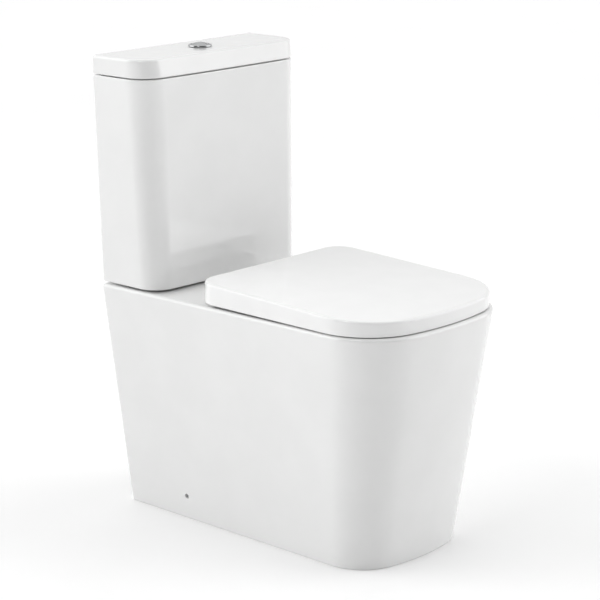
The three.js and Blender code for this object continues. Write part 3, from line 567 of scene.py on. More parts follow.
def bowl(grow=0.0, steps=36):
    """The inside of the bowl, or with a growth the outside of its wall."""
    rings = []
    rim_bottom = PAN_HEIGHT - PAN_EDGE
    for share in spaced(0, 1, steps):
        height = BOWL_FLOOR + (rim_bottom - BOWL_FLOOR) * share ** (1 / BOWL_CURVE)
        rings.append(ring(inset(mix(BOWL_SUMP, BOWL_RIM, share), -grow), height - grow * (1 - share)))
    if grow:
        return loft([*rings, ring(inset(BOWL_RIM, -grow), PAN_HEIGHT - INTO_DECK)])
    just_above = PAN_HEIGHT + CLEAR
    for outset, drop in rounding(BOWL_RIM_EDGE):
        rings.append(ring(inset(BOWL_RIM, -outset), just_above - drop))
    return loft([*rings, ring(inset(BOWL_RIM, -BOWL_RIM_EDGE), PAN_HEIGHT + 5)])


# Knots are (out from the wall, height). The trap rises out of the sump, over its weir and down to the outlet.
TRAP_KNOTS = [
    (392, 112), (340, 109), (300, 116), (264, 156), (242, 204), (207, 232), (166, 222), (130, 196), (92, 180),
    (40, 180),
]
DUCT_KNOTS = [(70, 403), (70, 372), (92, 340), (140, 328), (220, 332), (299, 346), (335, 352)]
TRAP_BORE = 38
TRAP_WALL = 9
DUCT_BORE = 28
DUCT_WALL = 8
SPIGOT_RADIUS = 51
SPIGOT_LENGTH = 60
SPIGOT_FACE, SPIGOT_HEIGHT = TRAP_KNOTS[-1]
RECESS_RADIUS = 53
RECESS_WALL = 9
RECESS_FLOOR = PAN_HEIGHT - 16
RECESS_BOSS_BOTTOM = PAN_HEIGHT - 30
HOLLOW_EDGE = 12
BACK_OPENING_HALF = 112
BACK_OPENING_DEPTH = 52
BACK_OPENING_TOP = 330
BACK_OPENING_EDGE = 22
# The parts under the deck are joined to it up to this far below its top.
INTO_DECK = 1
SIDE_HOLE_OUT = WALL_Y - (low_of("bracket_screw_left").y + high_of("bracket_screw_left").y) / 2
SIDE_HOLE_HEIGHT = (low_of("bracket_screw_left").z + high_of("bracket_screw_left").z) / 2
FILL_VALVE_ACROSS = (low_of("fill_valve_body").x + high_of("fill_valve_body").x) / 2


def make_pan():
    foot = [pan_wall(drop, amount) for amount, drop in reversed(rounding(PAN_FOOT_EDGE))]
    sides = [pan_wall(z) for z in spaced(PAN_FOOT_EDGE, PAN_HEIGHT - PAN_EDGE, 12)[1:-1]]
    brim = mix(PAN_BASE, PAN_TOP, 1 - PAN_EDGE / PAN_HEIGHT)
    top = [ring(inset(brim, amount), PAN_HEIGHT - drop) for amount, drop in rounding(PAN_EDGE)]
    hollow = [pan_wall(z, PAN_WALL) for z in spaced(-PAST, DECK_UNDERSIDE - HOLLOW_EDGE, 8)]
    hollow_edge = rounding(HOLLOW_EDGE)[1:]
    hollow += [pan_wall(DECK_UNDERSIDE - drop, PAN_WALL + amount) for amount, drop in hollow_edge]
    back = block(
        (-BACK_OPENING_HALF, WALL_Y - BACK_OPENING_DEPTH, -60),
        (BACK_OPENING_HALF, WALL_Y + 40, BACK_OPENING_TOP),
        BACK_OPENING_EDGE,
    )

    spigot = [(0, 0), (SPIGOT_RADIUS, 0), (SPIGOT_RADIUS, SPIGOT_LENGTH), (0, SPIGOT_LENGTH)]
    spigot = placed(along_y(turned(softened(spigot, 2.5), 80)), 0, SPIGOT_FACE, SPIGOT_HEIGHT)
    boss = rod(RECESS_RADIUS + RECESS_WALL, RECESS_BOSS_BOTTOM, PAN_HEIGHT - INTO_DECK, 3)
    joined = [
        bowl(BOWL_WALL),
        swept(smooth_path(TRAP_KNOTS), TRAP_BORE + TRAP_WALL, 48),
        spigot,
        placed(boss, 0, TANK_CENTRE),
        swept(smooth_path(DUCT_KNOTS[:-1]), DUCT_BORE + DUCT_WALL, 40),
    ]
    deck_top, deck_bottom = PAN_HEIGHT + PAST, DECK_UNDERSIDE - DECK_THICKNESS
    cut = [
        bowl(),
        swept(smooth_path([*TRAP_KNOTS, (SPIGOT_FACE - 12, SPIGOT_HEIGHT)]), TRAP_BORE, 48),
        placed(rod(RECESS_RADIUS, RECESS_FLOOR, deck_top), 0, TANK_CENTRE),
        placed(rod(INLET_MOUTH, RECESS_FLOOR - 20, PAN_HEIGHT), 0, TANK_CENTRE),
        swept(smooth_path(DUCT_KNOTS), DUCT_BORE, 40),
        placed(rod(SHANK_HOLE_IN_DECK, deck_bottom, deck_top), FILL_VALVE_ACROSS, TANK_CENTRE),
    ]
    for _, sign in SIDES:
        side_hole = along_x(rod(SCREW_HOLE_IN_SKIRT, -30, 30, segments=32))
        cut += [
            placed(rod(BOLT_HOLE, deck_bottom, deck_top), sign * BOLT_SPACING, TANK_CENTRE),
            placed(rod(POST_HOLE, deck_bottom, deck_top), sign * HINGE_SPACING, HINGE_OUT),
            placed(side_hole, sign * PAN_BASE.half_back, SIDE_HOLE_OUT, SIDE_HOLE_HEIGHT),
        ]
    piece = assembled("pan_casting", loft([*foot, *sides, *top]), joined, cut, [loft(hollow), back])
    finished(piece, "pan", "pan_bowl", "pan_trap", "flush_duct")


# ---------- Cistern ----------
def tank_wall(z, amount=0.0):
    share = (z - TANK_BOTTOM) / (TANK_TOP - TANK_BOTTOM)
    return ring(inset(mix(TANK_BASE, TANK_RIM, share), amount), z)


TANK_FOOT_EDGE = 3
TANK_RIM_EDGE = 2
TANK_FLOOR_EDGE = 12


def make_tank():
    edge = rounding(TANK_RIM_EDGE)
    floor_edge = reversed(rounding(TANK_FLOOR_EDGE))
    edge_bottom = TANK_TOP - TANK_RIM_EDGE
    foot = [tank_wall(TANK_BOTTOM + drop, amount) for amount, drop in reversed(rounding(TANK_FOOT_EDGE))]
    sides = [tank_wall(z) for z in spaced(TANK_BOTTOM + TANK_FOOT_EDGE, edge_bottom, 10)[1:-1]]
    rim = [tank_wall(TANK_TOP - drop, amount) for amount, drop in edge]
    floor = [tank_wall(TANK_FLOOR_TOP + drop, TANK_WALL + amount) for amount, drop in floor_edge]
    walls = spaced(TANK_FLOOR_TOP + TANK_FLOOR_EDGE, edge_bottom, 6)[1:-1]
    hollow = [tank_wall(z, TANK_WALL) for z in walls]
    hollow += [tank_wall(TANK_TOP + CLEAR - drop, TANK_WALL - amount) for amount, drop in edge]
    hollow.append(tank_wall(TANK_TOP + 4, TANK_WALL - TANK_RIM_EDGE))

    floor_top, floor_bottom = TANK_FLOOR_TOP + PAST, TANK_BOTTOM - PAST
    wall_hole = along_y(rod(WALL_SCREW_HOLE, -PAST, TANK_WALL + PAST))
    cut = [
        loft([*floor, *hollow]),
        placed(rod(INLET_MOUTH, floor_bottom, floor_top), 0, TANK_CENTRE),
        placed(rod(SHANK_HOLE_IN_TANK, floor_bottom, floor_top), FILL_VALVE_ACROSS, TANK_CENTRE),
    ]
    for _, sign in SIDES:
        cut += [
            placed(rod(BOLT_HOLE, floor_bottom, floor_top), sign * BOLT_SPACING, TANK_CENTRE),
            placed(wall_hole, sign * WALL_SCREW_SPACING, 0, WALL_SCREW_HEIGHT),
        ]
    finished(assembled("cistern_casting", loft([*foot, *sides, *rim]), (), cut), "cistern_tank")


def cover_wall(z, amount=0.0):
    share = (z - COVER_BOTTOM) / (COVER_TOP - COVER_BOTTOM)
    return ring(inset(mix(COVER_BASE, COVER_CROWN, share), amount), z)


# A lip under the cover reaches down inside the cistern's rim.
LIP_INSET = TANK_WALL + 3
LIP_DEPTH = 10
LIP_WALL = 6


def make_cover():
    foot = [cover_wall(COVER_BOTTOM + drop, amount) for amount, drop in reversed(rounding(2))]
    top = [cover_wall(COVER_TOP - drop, amount) for amount, drop in rounding(COVER_EDGE)]
    lip_bottom = COVER_BOTTOM - LIP_DEPTH
    lip = [cover_wall(lip_bottom + drop, LIP_INSET + amount) for amount, drop in reversed(rounding(1.5))]
    lip.append(cover_wall(COVER_BOTTOM + 4, LIP_INSET))
    ceiling = COVER_TOP - COVER_SHELL
    hollow = [cover_wall(lip_bottom - PAST, LIP_INSET + LIP_WALL)]
    hollow += [cover_wall(ceiling - drop, LIP_INSET + LIP_WALL + amount) for amount, drop in rounding(6)]
    button_hole = placed(rod(BUTTON_HOLE, COVER_BOTTOM, COVER_TOP + PAST, segments=64), 0, BUTTON_OUT)
    piece = assembled("cistern_cover_casting", loft([*foot, *top]), [loft(lip)], [loft(hollow), button_hole])
    finished(piece, "cistern_lid")


# ---------- Cistern to pan fixings ----------
GASKET_BORE, GASKET_RADIUS = 39, 50
BOLT_RADIUS = 4
BOLT_HEAD = 7
WASHER_RADIUS = 13
WING_HUB_RADIUS = 9


def thread(radius, low, high, pitch=1.2, depth=0.35):
    """A threaded stretch of a profile, as (radius, height) from its low end up."""
    turns = int((high - low) / pitch)
    profile = []
    for i in range(turns):
        base = low + i * pitch
        profile += [(radius - depth, base + 0.1 * pitch), (radius, base + 0.5 * pitch)]
    return profile


def make_coupling():
    gasket = pipe(GASKET_RADIUS, GASKET_BORE, *heights("tank_gasket"), 3, 96)
    finished(make("coupling_gasket", placed(gasket, 0, TANK_CENTRE)), "tank_gasket")
    for side, sign in SIDES:
        across = sign * BOLT_SPACING
        bolt_low, bolt_high = heights(f"coupling_bolt_{side}")
        head = bolt_high - BOLT_HEAD
        ridges = thread(BOLT_RADIUS, bolt_low + 0.6, DECK_UNDERSIDE + 6)
        shank = [(0, bolt_low), (BOLT_RADIUS - 0.6, bolt_low), *ridges]
        cap = softened([
            (0, head - 4), (BOLT_RADIUS, head - 4), (BOLT_RADIUS, head), (9, head), (9, head + 5),
            (7, head + BOLT_HEAD), (0, head + BOLT_HEAD),
        ], 0.8)
        slot = block((-10, -0.9, head + 4.6), (10, 0.9, head + 9))
        bolt = placed(turned([*shank, *cap[1:]], 40), across, TANK_CENTRE)
        finished(
            assembled(f"coupling_bolt_{side}_turned", bolt, (), [placed(slot, across, TANK_CENTRE)]),
            f"coupling_bolt_{side}",
        )
        bore = BOLT_RADIUS + BORE_GAP
        washer = pipe(WASHER_RADIUS, bore, *heights(f"coupling_washer_{side}"), 0.9)
        finished(
            make(f"coupling_washer_{side}_moulded", placed(washer, across, TANK_CENTRE)),
            f"coupling_washer_{side}",
        )
        hub = pipe(WING_HUB_RADIUS, bore, DECK_UNDERSIDE - 12, DECK_UNDERSIDE - BORE_GAP, 1)
        wings = []
        for wing in (-1, 1):
            low, high = sorted((wing * 7, wing * 20))
            wings.append(block((-2, low, DECK_UNDERSIDE - 16), (2, high, DECK_UNDERSIDE - 3), 1.6))
        nut = assembled(
            f"coupling_wing_nut_{side}_cast",
            placed(hub, across, TANK_CENTRE),
            [placed(wing, across, TANK_CENTRE) for wing in wings],
        )
        finished(nut, f"coupling_wing_nut_{side}")


# ---------- Flush valve ----------
VALVE_FLANGE = TANK_FLOOR_TOP + 3.35
VALVE_SEAT = TANK_FLOOR_TOP + 10
VALVE_TOP = high_of("flush_valve_body").z
VALVE_HEAD = VALVE_TOP - 16
VALVE_TAIL = 30
VALVE_WALL = 4
FLANGE_RADIUS = 43
NECK_RADIUS = 26
CAGE_RADIUS = 39
CAGE_TOP = 570
BACKNUT_RADIUS = 35.6
ROD_OFFSET = 9


def make_flush_valve():
    here = (0, TANK_CENTRE)
    tail_end = low_of("flush_valve_body").z
    flange_top = VALVE_FLANGE + 4
    tail_bore, neck_bore, cage_bore = (r - VALVE_WALL for r in (VALVE_TAIL, NECK_RADIUS, CAGE_RADIUS))
    body = softened([
        (tail_bore, tail_end), (VALVE_TAIL, tail_end), (VALVE_TAIL, VALVE_FLANGE),
        (FLANGE_RADIUS, VALVE_FLANGE), (FLANGE_RADIUS, flange_top), (CAGE_RADIUS, flange_top),
        (CAGE_RADIUS, CAGE_TOP), (NECK_RADIUS, CAGE_TOP + 12), (NECK_RADIUS, VALVE_TOP),
        (neck_bore, VALVE_TOP), (neck_bore, CAGE_TOP + 10), (cage_bore, CAGE_TOP - 2),
        (cage_bore, flange_top), (VALVE_TAIL, flange_top), (VALVE_TAIL, VALVE_SEAT), (tail_bore, VALVE_SEAT),
    ], 0.8)
    slot_low = TANK_FLOOR_TOP + 15
    cut = [
        block((-60, -60, slot_low), (60, -10, CAGE_TOP - 50), 4),
        block((-60, 10, slot_low), (60, 60, CAGE_TOP - 50), 4),
        block((-60, -8, CAGE_TOP + 40), (60, 8, CAGE_TOP + 90), 4),
    ]
    rod_hole = rod(5.4, VALVE_HEAD - PAST, VALVE_TOP + PAST)
    cut += [shifted(rod_hole, (sign * ROD_OFFSET, 0, 0)) for _, sign in SIDES]
    head = rod(24, VALVE_HEAD, VALVE_TOP - 2, 0.8, 64)
    valve = assembled(
        "flush_valve_cage", placed(turned(body, 96), *here), [placed(head, *here)],
        [placed(tool, *here) for tool in cut],
    )
    finished(valve, "flush_valve_body")

    bore = VALVE_TAIL + BORE_GAP
    washer = pipe(FLANGE_RADIUS, bore, *heights("flush_valve_washer"), 0.9)
    finished(make("flush_valve_foam_washer", placed(washer, *here)), "flush_valve_washer")
    nut_low, nut_high = heights("flush_valve_nut")
    notch = shifted(rod(4, nut_low - PAST, nut_high + PAST), (BACKNUT_RADIUS + 1.9, 0, 0))
    notches = [placed(rotated(notch, "Z", TURN * i / 8), *here) for i in range(8)]
    nut = pipe(BACKNUT_RADIUS, bore, nut_low, nut_high, 1, 96)
    finished(assembled("flush_valve_backnut", placed(nut, *here), (), notches), "flush_valve_nut")

    tube_low, tube_high = heights("overflow_tube")
    piston = softened([
        (12, tube_low), (30, tube_low), (30, tube_low + 3.4), (15, tube_low + 9.4), (15, tube_high - 6),
        (16.2, tube_high - 5), (16.2, tube_high), (12, tube_high),
    ], 0.7)
    finished(make("overflow_piston", placed(turned(piston, 64), *here)), "overflow_tube")
    seal = pipe(32, 13, *heights("flush_seal"), 1.2)
    finished(make("flush_seal_ring", placed(seal, *here)), "flush_seal")
    for kind, sign in (("full", -1), ("half", 1)):
        node = f"{kind}_plunger"
        plunger = rod(5, *heights(node), 1)
        finished(make(f"{node}_moulded", placed(plunger, sign * ROD_OFFSET, TANK_CENTRE)), node)


# ---------- Fill valve ----------
SHANK_RADIUS = 10.5
COLUMN_RADIUS = 12
FILL_HEAD_BOTTOM, FILL_HEAD_TOP = 640, 668
FLOAT_BOTTOM = low_of("float_cup").z
FLOAT_TOP = FLOAT_BOTTOM + 66
FLOAT_RADIUS = 33
WIRE_RADIUS = 1.8
ARM = Vector(JOINTS["fill_arm_turn"]["pos_m"]) / MM
ARM_LINK = 27


def make_fill_valve():
    here = (FILL_VALVE_ACROSS, TANK_CENTRE)
    inlet = low_of("fill_valve_body").z
    flange = TANK_FLOOR_TOP + BORE_GAP
    upper = softened([
        (0, flange - 3), (SHANK_RADIUS, flange - 3), (SHANK_RADIUS, flange), (19, flange), (19, flange + 5),
        (COLUMN_RADIUS, flange + 5), (COLUMN_RADIUS, FLOAT_BOTTOM - 8), (COLUMN_RADIUS + 4, FLOAT_BOTTOM - 6),
        (COLUMN_RADIUS + 4, FLOAT_BOTTOM - 1), (COLUMN_RADIUS, FLOAT_BOTTOM - 1),
        (COLUMN_RADIUS, FILL_HEAD_BOTTOM), (20, FILL_HEAD_BOTTOM + 3), (20, FILL_HEAD_TOP - 3),
        (17, FILL_HEAD_TOP), (0, FILL_HEAD_TOP),
    ], 0.8)[1:]
    ridges = thread(SHANK_RADIUS, inlet + 0.8, flange - 4, 1.8, 0.5)
    shank = [(5, inlet), (SHANK_RADIUS - 0.8, inlet), *ridges]
    way_up = [(0, FILL_HEAD_BOTTOM), (5, FILL_HEAD_BOTTOM)]
    column = placed(turned([*shank, *upper, *way_up], 48), *here)
    pivot = ARM.x - FILL_VALVE_ACROSS
    ears = [
        block((pivot - 5, low, FILL_HEAD_TOP - 12), (pivot + 5, low + 3, ARM.z + 5), 1)
        for low in (-9, 6)
    ]
    pin = shifted(along_y(rod(2, -8, 8, 0.3, 32)), (pivot, 0, ARM.z))
    foot = block((pivot - 3, -9, FILL_HEAD_TOP - 14), (0, 9, FILL_HEAD_TOP - 4), 0.8)
    valve = assembled("fill_valve_column", column, [placed(part, *here) for part in (*ears, pin, foot)])
    finished(valve, "fill_valve_body")

    make_hex("fill_valve_backnut", "fill_valve_nut", 17, SHANK_RADIUS + BORE_GAP, here)

    cup = softened([
        (COLUMN_RADIUS + 1, FLOAT_BOTTOM), (FLOAT_RADIUS - 3, FLOAT_BOTTOM),
        (FLOAT_RADIUS, FLOAT_BOTTOM + 4), (FLOAT_RADIUS, FLOAT_TOP - 3), (FLOAT_RADIUS - 3, FLOAT_TOP),
        (COLUMN_RADIUS + 1, FLOAT_TOP),
    ], 1.5)
    rib = block((FLOAT_RADIUS - 1.5, -1, FLOAT_BOTTOM + 8), (FLOAT_RADIUS + 0.6, 1, FLOAT_TOP - 8), 0.5)
    ribs = [rotated(rib, "Z", TURN * i / 12) for i in range(12)]
    wire = turned(softened([
        (0, FLOAT_TOP - 4), (WIRE_RADIUS, FLOAT_TOP - 4), (WIRE_RADIUS, ARM.z + 4.5),
        (4.2, ARM.z + 4.5), (4.2, ARM.z + 8), (0, ARM.z + 8),
    ], 0.6), 32)
    parts = [shifted(wire, (ARM_LINK, 0, 0)), *ribs]
    joined = [placed(part, *here) for part in parts]
    finished(assembled("float_cup_moulded", placed(turned(cup, 96), *here), joined), "float_cup")

    link = ARM_LINK - pivot
    bar = block((0, -4.5, -2), (link + 9, 4.5, 2), 0.9)
    boss = along_y(rod(5, -4.5, 4.5, 0.6))
    cut = [block((link - 6, -2.6, -3), (link + 6, 2.6, 3), 0.4), along_y(rod(2.35, -6, 6, segments=32))]
    holes = [shifted(hole, ARM) for hole in cut]
    finished(assembled("float_arm_moulded", shifted(bar, ARM), [shifted(boss, ARM)], holes), "fill_valve_arm")


def make_hex(name, node, radius, bore, here):
    """A six-sided nut with its corners turned off."""
    low, high = heights(node)
    piece = make(name, placed(turned([(0, low), (radius, low), (radius, high), (0, high)], 6), *here))
    chamfer = turned(softened([(0, low), (radius, low), (radius, high), (0, high)], 1.8), 64)
    tools = [("INTERSECT", chamfer), ("DIFFERENCE", rod(bore, low - PAST, high + PAST))]
    finished(reshaped(piece, [(operation, placed(tool, *here)) for operation, tool in tools]), node)


# ---------- Flush button ----------
BEZEL_LOW, BEZEL_TOP = heights("button_bezel")
BEZEL_FLANGE = BEZEL_LOW + 28.35
BEZEL_RADIUS = 21
BEZEL_BODY = 17.8
BEZEL_BORE = 16.2
BUTTON_LOW, BUTTON_TOP = heights("full_flush_button")
BUTTON_RADIUS = 15.8
BUTTON_SPLIT = 2
BUTTON_DOME = 5.5


def make_button():
    here = (0, BUTTON_OUT)
    bezel = turned(softened([
        (0, BEZEL_LOW), (BEZEL_BODY, BEZEL_LOW), (BEZEL_BODY, BEZEL_FLANGE), (BEZEL_RADIUS, BEZEL_FLANGE),
        (BEZEL_RADIUS, BEZEL_TOP - 1.6), (BEZEL_RADIUS - 2.4, BEZEL_TOP), (BEZEL_BORE, BEZEL_TOP - 0.8),
        (BEZEL_BORE, BEZEL_LOW + 2), (0, BEZEL_LOW + 2),
    ], 1.1, 5), 128)
    rod_hole = rod(3, BEZEL_LOW - PAST, BEZEL_LOW + 3)
    holes = [placed(rod_hole, sign * ROD_OFFSET, BUTTON_OUT) for _, sign in SIDES]
    finished(assembled("button_bezel_ring", placed(bezel, *here), (), holes), "button_bezel")
    make_hex("bezel_backnut", "bezel_nut", 26, BEZEL_BODY + BORE_GAP, here)

    # The two halves together make one low dome.
    dome = [
        (BUTTON_RADIUS * math.sin(a), BUTTON_TOP - BUTTON_DOME * (1 - math.cos(a)))
        for a in spaced(QUARTER, 0, 20)
    ]
    profile = [(0, BUTTON_LOW), (BUTTON_RADIUS, BUTTON_LOW), *dome]
    for kind, sign in (("full", -1), ("half", 1)):
        edge = BUTTON_SPLIT + sign * 0.4
        low, high = sorted((edge, -sign * 30))
        away = block((low, -30, BUTTON_LOW - PAST), (high, 30, BUTTON_TOP + PAST))
        half = assembled(f"{kind}_button_cap", placed(turned(profile, 128), *here), (), [placed(away, *here)])
        edges = half.modifiers.new("Soft edge", "BEVEL")
        edges.width = 0.35 * MM
        edges.segments = 3
        edges.limit_method = "ANGLE"
        edges.angle_limit = math.radians(60)
        finished(half, f"{kind}_flush_button")
        node = f"{kind}_flush_rod"
        push = rod(2.2, *heights(node), 0.5)
        finished(make(f"{node}_moulded", placed(push, sign * ROD_OFFSET, BUTTON_OUT)), node)
        make_spring(kind, sign)


def make_spring(kind, sign):
    node = f"{kind}_return_spring"
    low, high = low_of(node).z + 0.6, high_of(node).z - 0.6
    turns, steps = 5, 24
    path = []
    for i in range(turns * steps + 1):
        angle = TURN * i / steps
        share = min(max((i - steps / 2) / ((turns - 1) * steps), 0), 1)
        path.append(Vector((4.2 * math.cos(angle), 4.2 * math.sin(angle), low + (high - low) * share)))
    wire = placed(swept(path, 0.55, 12), sign * ROD_OFFSET, BUTTON_OUT)
    piece = finished(make(f"{node}_wire", wire), node)
    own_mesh(piece)


# ---------- Seat, lid and hinges ----------
POST_HALF = 8
KNUCKLE_RADIUS = 9
KNUCKLE_GAP = 0.8
PIN_RADIUS = 4
# Each knuckle runs from beside its post to its far end, the ring's inward and the lid's outward.
RING_KNUCKLE = (HINGE_SPACING - POST_HALF - KNUCKLE_GAP, HINGE_SPACING - 29)
LID_KNUCKLE = (HINGE_SPACING + POST_HALF + KNUCKLE_GAP, HINGE_SPACING + 29)
DAMPER_POCKET = 36
DAMPER_RADIUS = 6.6
SKIRT_SWEEP = 20.5
POST_BASE_LOW, POST_BASE_TOP = -21.65, -18.6
POST_BASE_RADIUS = 10.5
HINGE_BOLT_RADIUS = 3
HINGE_NUT_RADIUS = 13
SEAT_BUFFER_RADIUS = 7
LID_BUFFER_RADIUS = 6


def barrel(radius, low, high, edge=0.0):
    return at_hinge(along_x(rod(radius, low, high, edge)))


def hinge_block(low, high, edge=0.0):
    return at_hinge(block(low, high, edge))


def span_on(sign, start, end):
    return sorted((sign * start, sign * end))


def knuckles(near, far, damper_sign, web_low, web_high, web_edge=0.0):
    """Knuckles on both hinges, one of them longer to hold the damper, with their webs and their bores."""
    away = 1 if far > near else -1
    reach = far + away * DAMPER_POCKET
    joined, cut = [], []
    for _, sign in SIDES:
        low, high = span_on(sign, near, reach if sign == damper_sign else far)
        web = hinge_block((low, *web_low), (high, *web_high), web_edge)
        joined += [barrel(KNUCKLE_RADIUS, low, high, 0.8), web]
        cut.append(barrel(PIN_RADIUS + BORE_GAP, *span_on(sign, HINGE_SPACING, far + away * PAST)))
    cut.append(barrel(DAMPER_RADIUS + BORE_GAP, *span_on(damper_sign, far, reach + away * PAST)))
    return joined, cut


def make_seat_ring():
    def outer(amount, height):
        return ring(inset(SEAT_RING, amount), height, SEAT_RING)

    def inner(amount, height):
        return ring(inset(SEAT_HOLE, -amount), height, SEAT_RING)

    section = [outer(2.5, SEAT_RING_BOTTOM), outer(0.7, raised(SEAT_RING_BOTTOM, 0.7))]
    section.append(outer(0, raised(SEAT_RING_BOTTOM, 2.5)))
    for angle in spaced(0, QUARTER, 10):
        section.append(outer(11 * (1 - math.cos(angle)), raised(SEAT_RING_TOP, -8 * (1 - math.sin(angle)))))
    for angle in spaced(QUARTER, 0, 14):
        rise = [low + (top - low) * math.sin(angle) for low, top in zip(SEAT_RING_BOTTOM, SEAT_RING_TOP)]
        section.append(inner(22 * (1 - math.cos(angle)), tuple(max(z, HOLE_EDGE_LOW) for z in rise)))
    section = section[:-2]
    section += [inner(0, raised(SEAT_RING_BOTTOM, 2)), inner(1.5, SEAT_RING_BOTTOM)]

    joined, cut = knuckles(*RING_KNUCKLE, -1, (-24, -8), (0, 3), 1.5)
    finished(assembled("seat_ring_moulding", loft(section, looped=True), joined, cut), "seat_ring")


def make_seat_lid():
    def level(amount, height):
        return ring(inset(SEAT_LID, amount), height, SEAT_LID)

    foot = [level(amount, raised(SEAT_LID_BOTTOM, drop)) for amount, drop in reversed(rounding(1.2, 4))]
    top = [level(amount, raised(SEAT_LID_TOP, -drop)) for amount, drop in rounding(SEAT_LID_EDGE)]
    ceiling = raised(SEAT_LID_TOP, -SEAT_LID_SHELL)
    hollow = [level(SEAT_LID_SHELL, raised(SEAT_LID_BOTTOM, -1))]
    hollow += [level(SEAT_LID_SHELL + amount, raised(ceiling, -drop)) for amount, drop in rounding(3)]

    joined, cut = knuckles(*LID_KNUCKLE, 1, (-6, 0), (6, 16.5))

    # The back skirt stays inside the circle that clears the deck, and is notched round the posts.
    relief = [(SKIRT_SWEEP * math.cos(a), SKIRT_SWEEP * math.sin(a)) for a in spaced(0, -QUARTER, 16)]
    relief += [(0, -30), (30, -30), (30, 0)]
    trims = [hinge_block((-200, 7.5, -30), (200, 30, -10)), at_hinge(prism(relief, -200, 200))]
    for _, sign in SIDES:
        low, high = span_on(sign, RING_KNUCKLE[1] - 2, LID_KNUCKLE[0] + 6)
        trims.append(hinge_block((low, 10, -30), (high, 20, 14.5)))
    piece = assembled("seat_lid_moulding", loft([*foot, *top]), joined, cut, [loft(hollow), *trims])
    finished(piece, "seat_lid")


def make_hinges():
    for side, sign in SIDES:
        here = Vector((sign * HINGE_SPACING, HINGE.y, HINGE.z))
        base = rod(POST_BASE_RADIUS, POST_BASE_LOW, POST_BASE_TOP, 1, 64)
        stem = block((-POST_HALF + 1, -6, -20), (POST_HALF - 1, 6, 0), 1.5)
        head = along_x(rod(8, -POST_HALF, POST_HALF, 1.2, 64))
        bore = HINGE_BOLT_RADIUS + BORE_GAP
        cut = [along_x(rod(PIN_RADIUS + BORE_GAP, -20, 20)), rod(bore, -23, -12)]
        post = assembled(
            f"hinge_post_{side}_cast", shifted(base, here), [shifted(p, here) for p in (stem, head)],
            [shifted(c, here) for c in cut],
        )
        finished(post, f"hinge_post_{side}")
        pin = along_x(rod(PIN_RADIUS, -28, 28, 0.8))
        finished(make(f"hinge_pin_{side}_turned", shifted(pin, here)), f"hinge_pin_{side}")
        node = f"hinge_bolt_{side}"
        low, high = heights(node)
        ridges = thread(HINGE_BOLT_RADIUS, low + 0.5, high - 1, 1)
        bolt = turned([(0, low), (2.5, low), *ridges, (2.5, high), (0, high)], 32)
        finished(make(f"{node}_threaded", placed(bolt, here.x, HINGE_OUT)), node)
        top = high_of(f"hinge_nut_{side}").z
        nut = turned(softened([
            (bore, top - 19.65), (8, top - 19.65), (HINGE_NUT_RADIUS, top - 5.65), (HINGE_NUT_RADIUS, top),
            (bore, top),
        ], 1), 64)
        finished(make(f"hinge_nut_{side}_moulded", placed(nut, here.x, HINGE_OUT)), f"hinge_nut_{side}")


def upright(node, radius, edge):
    """A round upright piece of this radius in the place of a CAD node."""
    low, high = low_of(node), high_of(node)
    middle = (low + high) / 2
    return shifted(rod(radius, low.z, high.z, edge), (middle.x, middle.y, 0))


def make_buffers_and_dampers():
    for side, _ in SIDES:
        for place in ("back", "front"):
            node = f"seat_buffer_{place}_{side}"
            finished(make(f"{node}_pad", upright(node, SEAT_BUFFER_RADIUS, 1.6)), node)
        node = f"lid_buffer_{side}"
        finished(make(f"{node}_pad", upright(node, LID_BUFFER_RADIUS, 1.4)), node)
    for node in ("seat_damper", "lid_damper"):
        low, high = low_of(node).x, high_of(node).x
        body = [(0, low), (3.4, low), (3.4, low + 3), (DAMPER_RADIUS, low + 3), (DAMPER_RADIUS, high - 6)]
        body += [(DAMPER_RADIUS - 0.8, high - 5), (DAMPER_RADIUS - 0.8, high), (0, high)]
        cartridge = shifted(along_x(turned(softened(body, 0.5), 64)), (0, HINGE.y, HINGE.z))
        finished(make(f"{node}_cartridge", cartridge), node)


# ---------- Floor fixing ----------
BRACKET_HALF = 18
SCREW_RADIUS = 2.4


